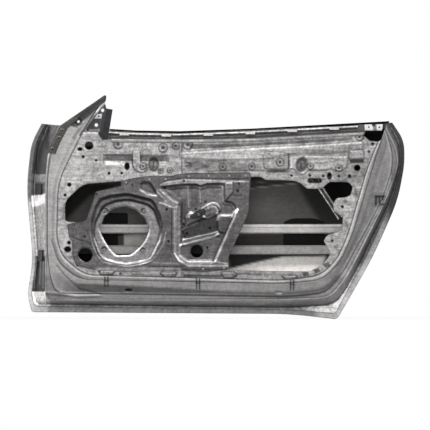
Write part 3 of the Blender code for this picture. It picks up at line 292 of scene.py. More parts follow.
def pressed_sheet(name, c, r, form, solid, thickness, finish, light, pitch=None, back=BACK_TONE):
    """A closed sheet over a grid of columns and rows.

    form(c, r) gives depth and brightness, and solid(c, r) the signed distance to the outline.
    A point with a distance under half the pitch is pulled onto the outline by minus the distance
    times its gradient. Upward walls are brightened and downward ones dimmed by light times the
    normal's rise: painted light and shade, as from a lamp above. The far side has one brightness, back.
    """
    if solid is None:
        keep = np.ones(c.shape, bool)
    else:
        gap = solid(c, r)
        small = 0.02
        across, down = (solid(c + small, r) - gap) / small, (solid(c, r + small) - gap) / small
        steepness = np.maximum(across**2 + down**2, 0.2)
        shift = np.where(np.abs(gap) < 0.5 * pitch, -gap / steepness, 0)
        c, r = c + across * shift, r + down * shift
        keep = gap < 0.5 * pitch
    depth, tone = form(c, r)
    points = metres(c, r, depth).reshape(-1, 3)
    corners = cell_corners(c.shape)
    kept = [keep.ravel()[corner] for corner in corners]
    whole = np.all(kept, axis=0)
    parts = [np.stack([corners[k] for k in half], 1)[whole] for half in ((0, 1, 2), (0, 2, 3))]
    for k in range(4):
        i, j, m, missing = np.roll(range(4), -k)
        three = kept[i] & kept[j] & kept[m] & ~kept[missing]
        parts.append(np.stack((corners[i], corners[j], corners[m]), 1)[three])
    used, front = np.unique(np.concatenate(parts), return_inverse=True)
    front = front.reshape(-1, 3)
    points, tone = points[used], tone.ravel()[used]
    a, b, far = (points[front[:, k]] for k in range(3))
    if np.cross(b - a, far - a)[:, 1].sum() > 0:
        front = front[:, ::-1]
    normal = normals_of(points, front)
    normal[:, 1] = np.minimum(normal[:, 1], 0)
    # Painted light and shade: walls facing up brightened, walls facing down dimmed.
    tone = tone * np.clip(1 + light * normal[:, 2], 0.45, 3.0)
    count = len(points)
    ends = np.concatenate((front[:, [0, 1]], front[:, [1, 2]], front[:, [2, 0]]))
    code, back_code = ends[:, 0] * count + ends[:, 1], ends[:, 1] * count + ends[:, 0]
    rim = ends[~np.isin(code, back_code)]
    skirt = np.concatenate((
        np.stack((rim[:, 1], rim[:, 0], rim[:, 0] + count), 1),
        np.stack((rim[:, 1], rim[:, 0] + count, rim[:, 1] + count), 1),
    ))
    faces = np.concatenate((front, front[:, ::-1] + count, skirt))
    points = np.concatenate((points, points - normal * thickness))
    piece = mesh_object(name, points, faces, np.concatenate((tone, np.full(count, back))), finish)
    print(f"{name}: {len(faces)} triangles")
    return piece


def plan_sheet(name, box, pitch, form, solid, thickness, finish, light, back=BACK_TONE):
    """A closed sheet over a square grid, from the least to the greatest column and row of a box."""
    c, r = np.meshgrid(np.arange(*box[:2], pitch), np.arange(*box[2:], pitch))
    return pressed_sheet(name, c, r, form, solid, thickness, finish, light, pitch, back)


def lofted_sheet(name, grid, form, thickness, finish, light, solid=None, pitch=None):
    """A closed sheet over the columns and rows of a grid between lines."""
    return pressed_sheet(name, grid[..., 0], grid[..., 1], form, solid, thickness, finish, light, pitch)


print("Sheet thickness, mm:", 1000 * PANEL_SHEET)

# %% [markdown]
# ## Finishes
# The shader maths is easier to read as expressions than as a web of nodes, so a small class wraps a
# socket and turns +, - and * into Math nodes. Bare sheet is grey with clouds of handling grime,
# fine speckle and faint rolling streaks, and its brightness attribute carries what belongs to the
# pressed forms: painted shade in the creases and on downward walls, painted highlights on crests
# and upward walls, and stains.

# %% Shader expressions
BUMP_STRENGTH, BUMP_DEPTH = 0.25, 0.0006


class Value:
    """A number socket that takes part in arithmetic."""

    def __init__(self, board, socket):
        self.board, self.socket = board, socket

    def maths(self, operation, first, second):
        """A Math node over two numbers, either of which may be a socket."""
        return self.board.node("ShaderNodeMath", {"operation": operation}, {0: first, 1: second})

    def __add__(self, other):
        return self.maths("ADD", self, other)

    def __sub__(self, other):
        return self.maths("SUBTRACT", self, other)

    def __rsub__(self, other):
        return self.maths("SUBTRACT", other, self)

    def __mul__(self, other):
        return self.maths("MULTIPLY", self, other)

    __radd__, __rmul__ = __add__, __mul__


class Board:
    """The node tree of a new material or world."""

    def __init__(self, owner):
        self.owner = owner
        owner.use_nodes = True
        self.tree = owner.node_tree
        self.tree.nodes.clear()

    def node(self, kind, settings=None, inputs=None, output=0):
        """Adds a node, sets it, then gives its sockets values or links; returns one output."""
        made = self.tree.nodes.new(kind)
        for key, value in (settings or {}).items():
            if key == "stops":
                ramp = made.color_ramp.elements
                for i, (place, shade) in enumerate(value):
                    stop = ramp[i] if i < 2 else ramp.new(place)
                    stop.position, stop.color = place, (shade, shade, shade, 1)
            else:
                setattr(made, key, value)
        for key, value in (inputs or {}).items():
            if isinstance(value, Value):
                self.tree.links.new(value.socket, made.inputs[key])
            else:
                made.inputs[key].default_value = value
        return Value(self, made.outputs[output])

    def noise(self, place, scale, detail, stretch=(1, 1, 1), rough=0.55):
        """Noise over object coordinates, stretched along an axis, as a number from 0 to 1."""
        mapped = self.node("ShaderNodeMapping", {}, {"Vector": place, "Scale": stretch})
        sizes = {"Vector": mapped, "Scale": scale, "Detail": detail, "Roughness": rough}
        return self.node("ShaderNodeTexNoise", {}, sizes)

    def between(self, value, low, high, blur=0.012):
        """1 where the value lies between two limits, with soft ends, and 0 elsewhere."""
        ranged = {"interpolation_type": "SMOOTHSTEP"}
        rise = self.node("ShaderNodeMapRange", ranged, {0: value, 1: low - blur, 2: low + blur})
        fall = self.node("ShaderNodeMapRange", ranged, {0: value, 1: high - blur, 2: high + blur})
        return rise - fall

    def ramp(self, value, *stops):
        """A grey ramp: each stop is a value and the brightness there."""
        return self.node("ShaderNodeValToRGB", {"stops": stops}, {0: value})

    def seen(self):
        """1 for rays of camera, gloss and glass, which meet plain white, and 0 for all others."""
        kinds = ("Is Camera Ray", "Is Glossy Ray", "Is Transmission Ray")
        camera_ray, gloss, glass = (self.node("ShaderNodeLightPath", {}, {}, kind) for kind in kinds)
        return camera_ray.maths("MAXIMUM", camera_ray, gloss.maths("MAXIMUM", gloss, glass))

    def end(self, kind, shader):
        """Leads a shader to the output of a material or of the world."""
        last = self.tree.nodes.new(kind)
        self.tree.links.new(shader.socket, last.inputs["Surface"])


def sheet_metal(name, colour, warm, metallic, rough, contrast=1.0, toned=True, lit=(),
                specular=0.22, crest=None):
    """Bare sheet: the colour, warmed in places, times brightness, clouds, mottle, grain and streaks.

    Where lit names stretches of x, the rest is painted black, as the shade of a closed cavity. A
    crest is a height with a painted highlight on it and a painted shade line under it.
    """
    board = Board(bpy.data.materials.new(name))
    place = board.node("ShaderNodeTexCoord", {}, {}, "Object")
    cloud = board.noise(place, 11.0, 5.0)
    mottle = board.noise(place, 120.0, 6.0, rough=0.7)
    grain = board.noise(place, 700.0, 2.0)
    streak = board.noise(place, 60.0, 5.0, (0.25, 1.0, 2.4), 0.65)
    stain = board.ramp(board.noise(place, 52.0, 8.0, rough=0.8), (0.40, 0.0), (0.60, 1.0))
    rub = board.ramp(board.noise(place, 90.0, 6.0, (0.3, 1.0, 1.5), 0.75), (0.54, 0.0), (0.68, 1.0))
    level = 1.0 + contrast * (
        0.5 * (cloud - 0.5) + 1.2 * (mottle - 0.5) + 0.35 * (grain - 0.5) + 0.9 * (streak - 0.5)
    )
    level = level * (1.0 - 0.30 * contrast * (1.0 - stain)) * (1.0 + 0.22 * contrast * rub)
    if toned:
        tone = board.node("ShaderNodeAttribute", {"attribute_name": "tone"}, {}, "Fac")
        level = level * tone
    # Painted cavity shade: black outside the lit stretches of x.
    if lit:
        x = board.node("ShaderNodeSeparateXYZ", {}, {0: place})
        level = level * (0.05 + sum(board.between(x, *stretch) for stretch in lit))
    # Painted highlight on the crest and painted shade line under it.
    if crest:
        z = board.node("ShaderNodeSeparateXYZ", {}, {0: place}, 2)
        bright = board.between(z, crest - 0.006, crest, 0.0015)
        dark = board.between(z, crest - 0.011, crest - 0.008, 0.0015)
        level = level * (1.0 + 0.35 * bright) * (1.0 - 0.32 * dark)
    colours = {0: cloud, 6: (*colour, 1), 7: (*warm, 1)}
    mixed = board.node("ShaderNodeMix", {"data_type": "RGBA"}, colours, 2)
    base = board.node("ShaderNodeVectorMath", {"operation": "SCALE"}, {0: mixed, 3: level})
    gloss = rough + 0.22 * (mottle - 0.5) + 0.12 * (streak - 0.5)
    height = 0.7 * mottle + 0.3 * grain
    relief = {"Strength": BUMP_STRENGTH, "Distance": BUMP_DEPTH, "Height": height}
    normal = board.node("ShaderNodeBump", {}, relief)
    shader = board.node("ShaderNodeBsdfPrincipled", {}, {
        "Base Color": base, "Metallic": metallic, "Roughness": gloss, "Normal": normal,
        "Specular IOR Level": specular,
    })
    board.end("ShaderNodeOutputMaterial", shader)
    return board.owner


panel_metal = sheet_metal("panel_metal", (0.325, 0.317, 0.32), (0.375, 0.365, 0.355), 0.35, 0.42, 1.7)
border_metal = sheet_metal("border_metal", (0.29, 0.283, 0.285), (0.33, 0.322, 0.315), 0.35, 0.42, 0.75)
flange_metal = sheet_metal("flange_metal", (0.36, 0.355, 0.36), (0.39, 0.38, 0.38), 0.4, 0.40)
carrier_metal = sheet_metal(
    "carrier_metal", (0.084, 0.081, 0.084), (0.101, 0.097, 0.096), 0.5, 0.38, 1.5
)
skin_metal = sheet_metal("skin_metal", (0.28, 0.27, 0.262), (0.33, 0.315, 0.30), 0.3, 0.55, 0.5,
                         specular=0.08)
# The beams are painted black outside these stretches, as cavity shade, with a painted crest highlight.
FRONT_STRETCH, REAR_STRETCH = (0.215, 0.415), (0.680, 1.100)
beam_metal = sheet_metal(
    "beam_metal", (0.37, 0.355, 0.35), (0.43, 0.415, 0.405), 0.3, 0.42, 0.6, False,
    lit=(FRONT_STRETCH, REAR_STRETCH), specular=0.08, crest=-0.1285,
)
# The lower beam's finish is a darker copy of the upper's, as painted shade.
shaded_low_beam_metal = sheet_metal(
    "shaded_low_beam_metal", (0.245, 0.235, 0.232), (0.29, 0.28, 0.272), 0.3, 0.42, 0.7, False,
    lit=(FRONT_STRETCH, REAR_STRETCH), specular=0.08, crest=-0.1965,
)
bright_metal = sheet_metal("bright_metal", (0.52, 0.51, 0.51), (0.58, 0.57, 0.56), 0.4, 0.35, 0.4, False)
dull_metal = sheet_metal("dull_metal", (0.30, 0.295, 0.30), (0.34, 0.33, 0.33), 0.4, 0.4, 0.8, False)
zinc_metal = sheet_metal("zinc_metal", (0.19, 0.187, 0.187), (0.22, 0.213, 0.206), 0.6, 0.32, 0.4, False)
dark_coat = sheet_metal("dark_coat", (0.018, 0.017, 0.019), (0.026, 0.025, 0.026), 0.2, 0.45, 0.9, False,
                        specular=0.15)
# Black for the damping pads, and painted black as cavity shade on the beams' front ends.
black_pad_and_cavity_shade = sheet_metal("black_pad_and_cavity_shade", (0.016, 0.015, 0.016), (0.020, 0.019, 0.020), 0.0, 0.7, 0.5, False,
                        specular=0.03)
seal_black = sheet_metal("seal_black", (0.003, 0.003, 0.003), (0.004, 0.004, 0.004), 0.0, 0.7, 0.4, False,
                         specular=0.02)
print("Finishes:", len(bpy.data.materials))

# %% [markdown]
# ## The door's edge lines
# Seven lines run round the door from the front corner over the foot to the rear corner: where the
# flat field ends, where the weather seal sits, the raised ridge beside it, the top and the foot of
# the deep shut face, the hem of the skin and the skin's own edge. Each has the same corners, so the
# surfaces between them are lofts: a point along, a share across.

# %% The edge lines
ROUNDS = (0, 0.45, 0.45, 0.4, 0.4, None, 0.45, None, 0.45, 0.45, 0.45, 0.45, 0.45, 0)
LINE_ROUNDS = {
    "skin": (0.15, 0.12), "hem": (0.3, 0.12), "foot": (0.3, 0.42), "top": (0.3, 0.42),
    "ridge": (0.42, 0.42), "seal": (0.42, 0.42), "field": (0.42, 0.42),
}
EDGE_LINES = {
    "skin": (
        (41.2, 123.5), (30.9, 143.1), (26.0, 186.0), (32.4, 260.1), (27.1, 294.9), (31.3, 312.4),
        (289.9, 314.2), (337.3, 319.6), (352.1, 294.4), (374.1, 255.6), (398.4, 200.1),
        (405.2, 163.1), (404.4, 139.9), (392.7, 122.4),
    ),
    "hem": (
        (45.0, 124.2), (34.7, 144.4), (30.2, 186.0), (36.2, 260.1), (31.3, 294.0), (34.7, 306.3),
        (289.9, 309.5), (335.4, 313.3), (346.4, 292.4), (367.7, 254.7), (392.7, 199.2),
        (401.4, 163.1), (400.6, 141.5), (389.3, 122.6),
    ),
    "foot": (
        (48.0, 124.4), (38.1, 146.0), (32.8, 186.0), (38.5, 258.1), (33.6, 292.0), (37.8, 303.9),
        (288.0, 307.7), (334.7, 304.3), (349.8, 283.7), (364.2, 253.3), (391.2, 198.5),
        (399.9, 163.1), (399.1, 143.1), (387.4, 122.9),
    ),
    "top": (
        (60.5, 125.3), (48.0, 150.0), (45.3, 178.1), (45.3, 252.0), (45.0, 285.9), (45.7, 300.3),
        (288.0, 300.7), (330.9, 298.0), (346.0, 278.9), (361.6, 250.0), (387.8, 196.7),
        (398.8, 163.1), (396.5, 147.1), (386.2, 126.7),
    ),
    "ridge": (
        (66.6, 125.1), (52.9, 150.9), (48.4, 179.9), (48.4, 250.0), (51.0, 276.0), (57.1, 292.4),
        (288.0, 295.8), (325.2, 292.0), (341.1, 273.1), (355.5, 245.9), (380.6, 201.9),
        (391.2, 170.0), (391.5, 152.9), (384.7, 130.7),
    ),
    "seal": (
        (74.5, 135.4), (66.6, 150.9), (53.3, 183.9), (51.8, 240.1), (57.1, 261.0), (79.1, 279.4),
        (285.0, 283.4), (322.2, 279.6), (340.0, 262.1), (352.1, 236.0), (363.9, 196.1),
        (371.8, 168.9), (377.5, 150.9), (381.7, 139.7),
    ),
    "field": (
        (79.5, 138.3), (72.6, 152.0), (58.2, 181.9), (56.7, 238.1), (62.4, 256.0), (84.0, 274.9),
        (285.0, 280.3), (319.9, 275.4), (336.2, 260.3), (347.6, 236.0), (358.6, 198.1),
        (366.1, 172.0), (373.3, 152.9), (378.3, 141.5),
    ),
}
LINE_DEPTHS = {
    "top": (
        0.012, 0.012, 0.012, 0.012, 0.0135, 0.015, 0.018, 0.021, 0.039, 0.054, 0.066, 0.066,
        0.066, 0.066,
    ),
    "ridge": (
        0.009, 0.009, 0.0075, 0.0075, 0.009, 0.0105, 0.012, 0.015, 0.033, 0.048, 0.060, 0.060,
        0.060, 0.060,
    ),
    "seal": (0.006,) * 14,
    "field": (0.0,) * 14,
}
TIPS = {
    "top": (104.5, 95.1, 0.012),
    "ridge": (106.4, 95.7, 0.009),
    "seal": (106.0, 99.5, 0.006),
    "field": (104.9, 103.1, 0.0),
}
STEP_LENGTH, TIP_STEPS = 0.85, 60
# The skin's rim is drawn in towards the door's middle, to lie inside the solid's flat facets.
MIDDLE, DRAWN_IN = 215.0, 0.0009


def line_rounds(name):
    """The share of each corner that is rounded."""
    return [LINE_ROUNDS[name][i > 5] if s is None else s for i, s in enumerate(ROUNDS)]


def step_counts():
    """Steps for each arc and each straight stretch, by their lengths on the skin's own line."""
    lengths = np.linalg.norm(np.diff(np.array(EDGE_LINES["skin"]), axis=0), axis=1)
    shorter = np.minimum(np.append(lengths[0], lengths), np.append(lengths, lengths[-1]))
    reach = np.array(line_rounds("skin")) * shorter
    straight = lengths - reach[:-1] - reach[1:]
    arcs = np.maximum(8, 1.7 * reach / STEP_LENGTH).astype(int)
    return arcs, np.maximum(2, straight / STEP_LENGTH).astype(int)


ARC_COUNTS, SIDE_COUNTS = step_counts()


def edge_run(name, tip=False):
    """One line as points of column, row and depth: arcs at its corners and even steps between."""
    plan = np.array(EDGE_LINES[name])
    if name in LINE_DEPTHS:
        depth = np.array(LINE_DEPTHS[name])
    else:
        depth = skin_depth(*plan.T)
    corners = np.column_stack((plan, depth))
    rounds = line_rounds(name)
    pieces = []
    for i, corner in enumerate(corners):
        if rounds[i] == 0:
            pieces.append(corner[None])
            continue
        before, after = corners[i - 1] - corner, corners[i + 1] - corner
        long_before, long_after = np.hypot(*before[:2]), np.hypot(*after[:2])
        reach = rounds[i] * min(long_before, long_after)
        start, end = corner + before * reach / long_before, corner + after * reach / long_after
        weight = math.sqrt((1 - before[:2] @ after[:2] / (long_before * long_after)) / 2)
        s = np.linspace(0, 1, ARC_COUNTS[i])[:, None]
        a, b, c = (1 - s) ** 2, 2 * weight * s * (1 - s), s**2
        pieces.append((a * start + b * corner + c * end) / (a + b + c))
    if tip:
        t = np.linspace(0, 1, TIP_STEPS)[:-1, None]
        pieces[0] = np.concatenate((np.array(TIPS[name]) * (1 - t) + corners[0] * t, corners[:1]))
    run = [pieces[0]]
    for piece, following, count in zip(pieces, pieces[1:], SIDE_COUNTS):
        t = np.linspace(0, 1, count + 1)[1:-1, None]
        run += [piece[-1] * (1 - t) + following[0] * t, following]
    run = np.concatenate(run)
    if name in ("skin", "hem", "foot"):
        run[:, 2] = skin_depth(run[:, 0], run[:, 1])
    return run


lines = {name: edge_run(name, tip=name in TIPS) for name in EDGE_LINES}
lines["skin"][:, :2] += (MIDDLE - lines["skin"][:, :2]) * DRAWN_IN
short_top = edge_run("top")
print("Points along a line:", len(lines["field"]), "and", len(lines["skin"]))

# %% [markdown]
# ## A loft between lines
# The share across runs from line to line. A few passes of averaging along that share round every
# fold a little, as the press tool's radius does.

# %% The loft


def loft(rows, counts, passes):
    """Points between lines: each band cut in equal steps, then averaged with its two neighbours."""
    rows = np.asarray(rows)
    levels, places = [], []
    for k, count in enumerate(counts):
        t = np.linspace(0, 1, count, endpoint=False)[:, None, None]
        levels.append(rows[k] * (1 - t) + rows[k + 1] * t)
        places.append(k + t[:, 0, 0])
    grid = np.concatenate((*levels, rows[-1:]))
    for _ in range(passes):
        grid[1:-1] = (grid[:-2] + 2 * grid[1:-1] + grid[2:]) / 4
    return grid, np.concatenate((*places, [len(counts)]))


def from_line(place, k, grid_widths):
    """Signed distance across from line k, in plan units: the share past it times the band's width."""
    share = place[:, None] - k
    before = grid_widths[max(k - 1, 0)]
    after = grid_widths[min(k, len(grid_widths) - 1)]
    return np.where(share < 0, share * before, share * after)


def widths(rows):
    """Plan width of each band at each point along."""
    return [np.hypot(*(b - a)[:, :2].T) for a, b in zip(rows, rows[1:])]


print("Loft ready")

# %% [markdown]
# ## The border of the inner panel
# Between the flat field and the shut face lies the band that the weather seal rests on. It starts
# under the field's edge, rolls up in a bead, dips for the seal and climbs to a ridge, and beyond the
# ridge a second small bead stiffens the corner. Each dip is painted darker, as shade, and each crest
# lighter, as a highlight.

# %% The border
border_rows = [lines[name].copy() for name in ("field", "seal", "ridge", "top")]
inward = border_rows[0][:, :2] - border_rows[1][:, :2]
border_rows[0][:, :2] += inward / np.linalg.norm(inward, axis=1)[:, None] * 0.8
border_rows[0][:, 2] += 0.0035
BORDER_COUNTS = (9, 24, 14)
border_grid, border_place = loft(border_rows, BORDER_COUNTS, 2)
border_width = widths(border_rows)

LEFT_FLANGE = ((40, 291.6), (58, 293.4), (77, 296.0), (102, 295.4))
FRONT_CREASE = ((51.5, 240.3), (58.4, 259.4), (64.1, 267.1), (73.7, 274.8), (82, 278.6))
LOWER_CREASE = ((56.4, 265.2), (64.1, 274.8), (73.7, 283.6), (79.7, 289.4), (102, 294.5))
DRAINS = [(54.9 + 30.67 * k, 300.1 + 0.55 * k) for k in range(8)]
BORDER_HOLES = ((78.5, 121.6, 1.25), (128.5, 290.2, 3.7, 1.6), (278.7, 292.5, 3.6, 1.3))
TWIN_SLOTS = ((106.4, 282.0), (198.0, 284.2), (292.1, 285.4))
DARK_TIP = (
    (103.5, 92), (109, 94), (105.4, 102.4), (97, 109.0), (89, 116.5), (82.8, 121.6), (77.5, 127.6),
    (70.5, 125.8), (66.5, 128.5), (58, 127), (60, 121),
)
GREY_TIP = ((106, 101), (98, 107), (84, 121), (78, 128), (72, 138), (74.5, 140), (86, 122), (100, 109))
TIP_SHADES = (
    (DARK_TIP, 0.10, 2.4),
    (GREY_TIP, 0.62, 3.0),
    (((93.1, 115), (97.5, 114), (80, 137.6), (80, 135)), 0.40, 0.6),
)
TIP_STREAKS = (
    (((105, 102.6), (100.6, 105.7), (96.8, 111.4)), 3.0, 0.8),
    (((104, 97.5), (86, 108), (66, 121)), 2.2, 0.6),
    (((98.5, 106.8), (92.7, 115), (87, 124), (82.5, 131), (79.6, 135.4)), 0.06, 0.6),
)
LATCH_PLATE = rounded(((372.0, 192.0), (387.0, 192.6), (385.6, 208.4), (370.6, 207.4)), 0.2)
LATCH_STROKES = (
    ((375.4, 196.4), (384.3, 196.2)), ((376.2, 196.6), (375.8, 204.6)), ((379.6, 197.2), (379.6, 202.4)),
    ((383.0, 197.0), (382.8, 199.6)), ((380.4, 204.6), (384.0, 204.2)),
)
BRIGHT_STREAKS = (((48.6, 150), (47.4, 158)), ((300, 282.0), (318, 279.6), (334, 269)))
OUTER_FLANGE = (
    (384.6, 124), (400, 124), (402, 160), (396, 186), (391.8, 193), (390.6, 172), (392.2, 155.6),
    (388.2, 140.3),
)


def border_form(c, r, part):
    """The loft's depth, with beads along its lines, a valley at the rear, painted shade beside each and
    painted highlights on them.
    """
    form = Pressing(c, r, border_grid[:, part, 2])
    part_width = [width[part] for width in border_width]
    field, seal, ridge, top = (from_line(border_place, k, part_width) for k in range(4))
    # 1 along the upper front edge, where the border is smooth, and 0 elsewhere.
    plain = (1 - step((c - 108) / 6)) * (1 - step((r - 240) / 24))
    # Painted shadow at the field's edge and painted shade in the dips; painted highlights on the beads, the
    # ridge and the top.
    form.ridge(field - 3.0, 0.0022, 1.8)
    form.streak(field - 0.3, 0.02, 0.8)
    form.streak(field - 2.8, 1.44 - 0.20 * plain, 1.6)
    form.streak(seal, 0.22 + 0.66 * plain, 0.7)
    form.tone *= 1 - 0.08 * plain
    form.streak(seal - 2.5, 1 + 0.14 * plain, 2.5)
    form.ridge(ridge, 0.0020, 1.1)
    form.streak(ridge, 1.35, 0.7)
    form.streak(ridge - 1.5, 0.35 + 0.25 * plain, 0.7)
    form.streak(top + 1.0, 1.5, 0.6)
    form.streak(top + 2.2, 0.5, 0.7)
    # The foot, the rear edge above it, and the foot past its front corner.
    # Painted shade on the foot's downward slopes and in the rear valley, a painted highlight past the ridge.
    low = step((r - 268) / 12)
    rear = step((c - 330) / 20) * (1 - low)
    form.tone *= 1 - 0.14 * low * step((seal - 0.5) / 2)
    past_corner = low * step((c - 58) / 26)
    form.tone *= 1 - 0.70 * past_corner * step((seal - 6.5) / 5)
    form.tone *= 1 + 2.3 * past_corner * step((ridge - 0.4) / 1.2)
    form.tone *= 1 - 0.25 * (low - past_corner) * step((seal - 2) / 5)
    form.tone *= 1 + 0.05 * rear
    form.ridge(seal - 7.0, -0.003 * rear, 1.8)
    form.streak(seal - 7.0, 1 - 0.22 * rear, 1.8)
    # A painted highlight on the flange's crest and painted shade under it; each crease painted darker, as
    # shade.
    flange = to_line(LEFT_FLANGE, c, r)
    front_low = 1 - step((c - 96) / 10)
    form.ridge(flange, 0.0022 * front_low, 1.0)
    form.streak(flange, 1 + 0.35 * front_low, 0.8)
    form.streak(to_line(np.array(LEFT_FLANGE) + (0, 1.9), c, r), 1 - 0.5 * front_low, 0.8)
    for crease in (FRONT_CREASE, LOWER_CREASE):
        gap = to_line(crease, c, r)
        form.ridge(gap, -0.0012, 1.0)
        form.streak(gap, 0.5, 0.8)
    form.shades(TIP_SHADES)
    form.streaks(TIP_STREAKS)
    # The drain hole is a dish painted black, as the shade inside it; the other oval is painted lighter.
    for spot, factor in ((BORDER_HOLES[1], 0.04), (BORDER_HOLES[2], 2.3)):
        gap = to_round(spot, c, r)
        form.press(gap, 0.0030, 1.2, 0.4)
        form.shade(gap, factor, 0.9)
    # Painted highlights on the recess's lower wall and round the hole, painted shade inside the recess.
    bolt_hole = BORDER_HOLES[0]
    ring = np.hypot(c - bolt_hole[0], r - bolt_hole[1])
    form.press(ring - 4.4, 0.004, 1.6, 0.5)
    form.streak(ring - 4.6 + 2.5 * step((r - 121) / 4), 2.6, 0.9)
    form.shade(ring - 3.6, 0.40, 1.2)
    form.streak(ring - 1.8, 2.2, 0.5)
    # Each slot is a shallow groove painted near black, as the shade inside a slot.
    for c0, r0 in TWIN_SLOTS:
        for side in (c0 - 1.5, c0 + 1.5):
            gap = to_line(((side, r0 - 5), (side, r0 + 4.6)), c, r)
            form.ridge(gap, -0.0012, 0.6)
            form.streak(gap, 0.08, 0.8)
        form.streak(to_line(((c0 - 2, r0 - 1), (c0 + 2, r0 - 1)), c, r), 0.25, 0.7)
    form.shade(to_loop(LATCH_PLATE, c, r), 0.78, 1.2)
    for stroke in LATCH_STROKES:
        form.streak(to_line(stroke, c, r), 0.02, 1.1)
    for streak in BRIGHT_STREAKS:
        form.streak(to_line(streak, c, r), 1.5, 1.2)
    # Painted shadow on the rear's outer flange, and the drains painted as dark spots, the shade of holes.
    form.shade(to_loop(OUTER_FLANGE, c, r), 0.62, 2.0)
    for c0, r0 in DRAINS:
        form.streak(np.hypot(c - c0, r - r0), 0.2, 0.9)
    return form.made()


def border_solid(c, r):
    """Sheet all over but for the bolt hole at the front corner."""
    return -to_round(BORDER_HOLES[0], c, r)


borders = []
middle = border_grid.shape[1] // 2
for name, part in (("front", slice(0, middle + 1)), ("rear", slice(middle, None))):
    borders.append(lofted_sheet(
        "panel_border_" + name, border_grid[:, part], lambda c, r, part=part: border_form(c, r, part),
        PANEL_SHEET, border_metal, 0.6, border_solid, 0.7,
    ))

# %% [markdown]
# ## The shut faces
# From the border the sheet turns sharply away from the cabin, down to the flange that the skin is
# folded over. At the front it carries the hinges and is a patchwork of dark and bright: it is covered
# with old sealer in places, with painted shade in its hinge recess and painted highlights and a
# painted reflection on the faces below.

# %% The shut faces
SKIN_GAP = np.array((0, 0, 0.0018))
shut_rows = [short_top, lines["foot"] - SKIN_GAP, lines["hem"] - SKIN_GAP]
shut_grid, shut_place = loft(shut_rows, (26, 5), 2)
shut_width = widths(shut_rows)
# Patches of the front shut face: the third is painted shade in the hinge recess, the fifth a painted
# reflection below it.
FRONT_SHADES = (
    (((20, 120), (20, 140.3), (62, 140.3), (62, 120)), 0.11),
    (((20, 140.3), (20, 174.5), (62, 174.5), (62, 140.3)), 0.085),
    (((20, 174.5), (20, 196), (47, 193.5), (47, 174.5)), 0.24),
    (((36.0, 175.0), (36.0, 181.6), (46, 182.2), (46, 174.0)), 2.6),
    (((29, 196.6), (46, 193.6), (46, 202.6), (33.5, 207.4), (29, 206)), 2.7),
    (((29, 207), (46, 203), (46, 256), (29, 256)), 0.95),
    (((29, 256), (46, 256), (46, 291.8), (29, 291.8)), 0.07),
    (((32.6, 291.8), (46, 291.8), (46, 304.8), (36.5, 304.8), (33.4, 302.4)), 1.9),
)
SHUT_STREAKS = (
    (((56.4, 125), (45.3, 141), (45, 161)), 1.5, 0.8),
    (((36, 258), (34, 290)), 5.0, 0.55),
    (((40.5, 257), (39.5, 284)), 5.0, 0.55),
    (((43.4, 262), (43.0, 288)), 5.0, 0.55),
    (((30, 140.5), (46, 140.5)), 0.4, 0.6),
    (((45.2, 125), (37.5, 140), (36.0, 170)), 0.4, 0.6),
)
UPPER_SHADOW = ((49, 123), (60.6, 123), (49.6, 148), (45.0, 150), (45.0, 138))


def shut_form(c, r):
    """The loft's depth, with the front's patches and painted highlights and shade along the shut face's
    foot.
    """
    form = Pressing(c, r, shut_grid[..., 2])
    foot = from_line(shut_place, 1, shut_width)
    front = 1 - step((c - 49) / 2)
    form.tone *= 1 + 1.2 * front
    for loop, factor in FRONT_SHADES:
        form.shade(to_loop(loop, c, r), 1 + (factor - 1) * front, 0.9)
    form.streaks(SHUT_STREAKS)
    form.shade(to_loop(UPPER_SHADOW, c, r), 0.34, 1.6)
    # Painted highlight and shade along the foot at the upper front, a painted highlight at the lower rear
    # corner, darker at the rear, and painted shade just inside the foot.
    high = front * (1 - step((r - 190) / 8))
    form.streak(foot + 0.6, 1 + 2.6 * high, 0.7)
    form.streak(foot - 1.2, 1 - 0.7 * high, 0.9)
    rear = step((c - 345) / 12)
    corner = step((c - 300) / 12) * step((r - 262) / 10)
    form.tone *= 1 + 2.2 * corner * step((foot - 0.3) / 1.2)
    form.tone *= 1 - 0.52 * rear
    form.streak(foot - 0.4, 0.35, 0.8)
    return form.made()


shut = lofted_sheet("panel_shut_faces", shut_grid, shut_form, PANEL_SHEET, panel_metal, 0.4)

# %% [markdown]
# ## The field of the inner panel
# The field is the flat part that the trim panel and the carrier are fastened to. Its openings follow
# the pressed outline, with lobes where the glass rail is bolted on. Over it lie the belt's raised
# band, a trough, pockets for trim clips, bosses and dozens of holes.

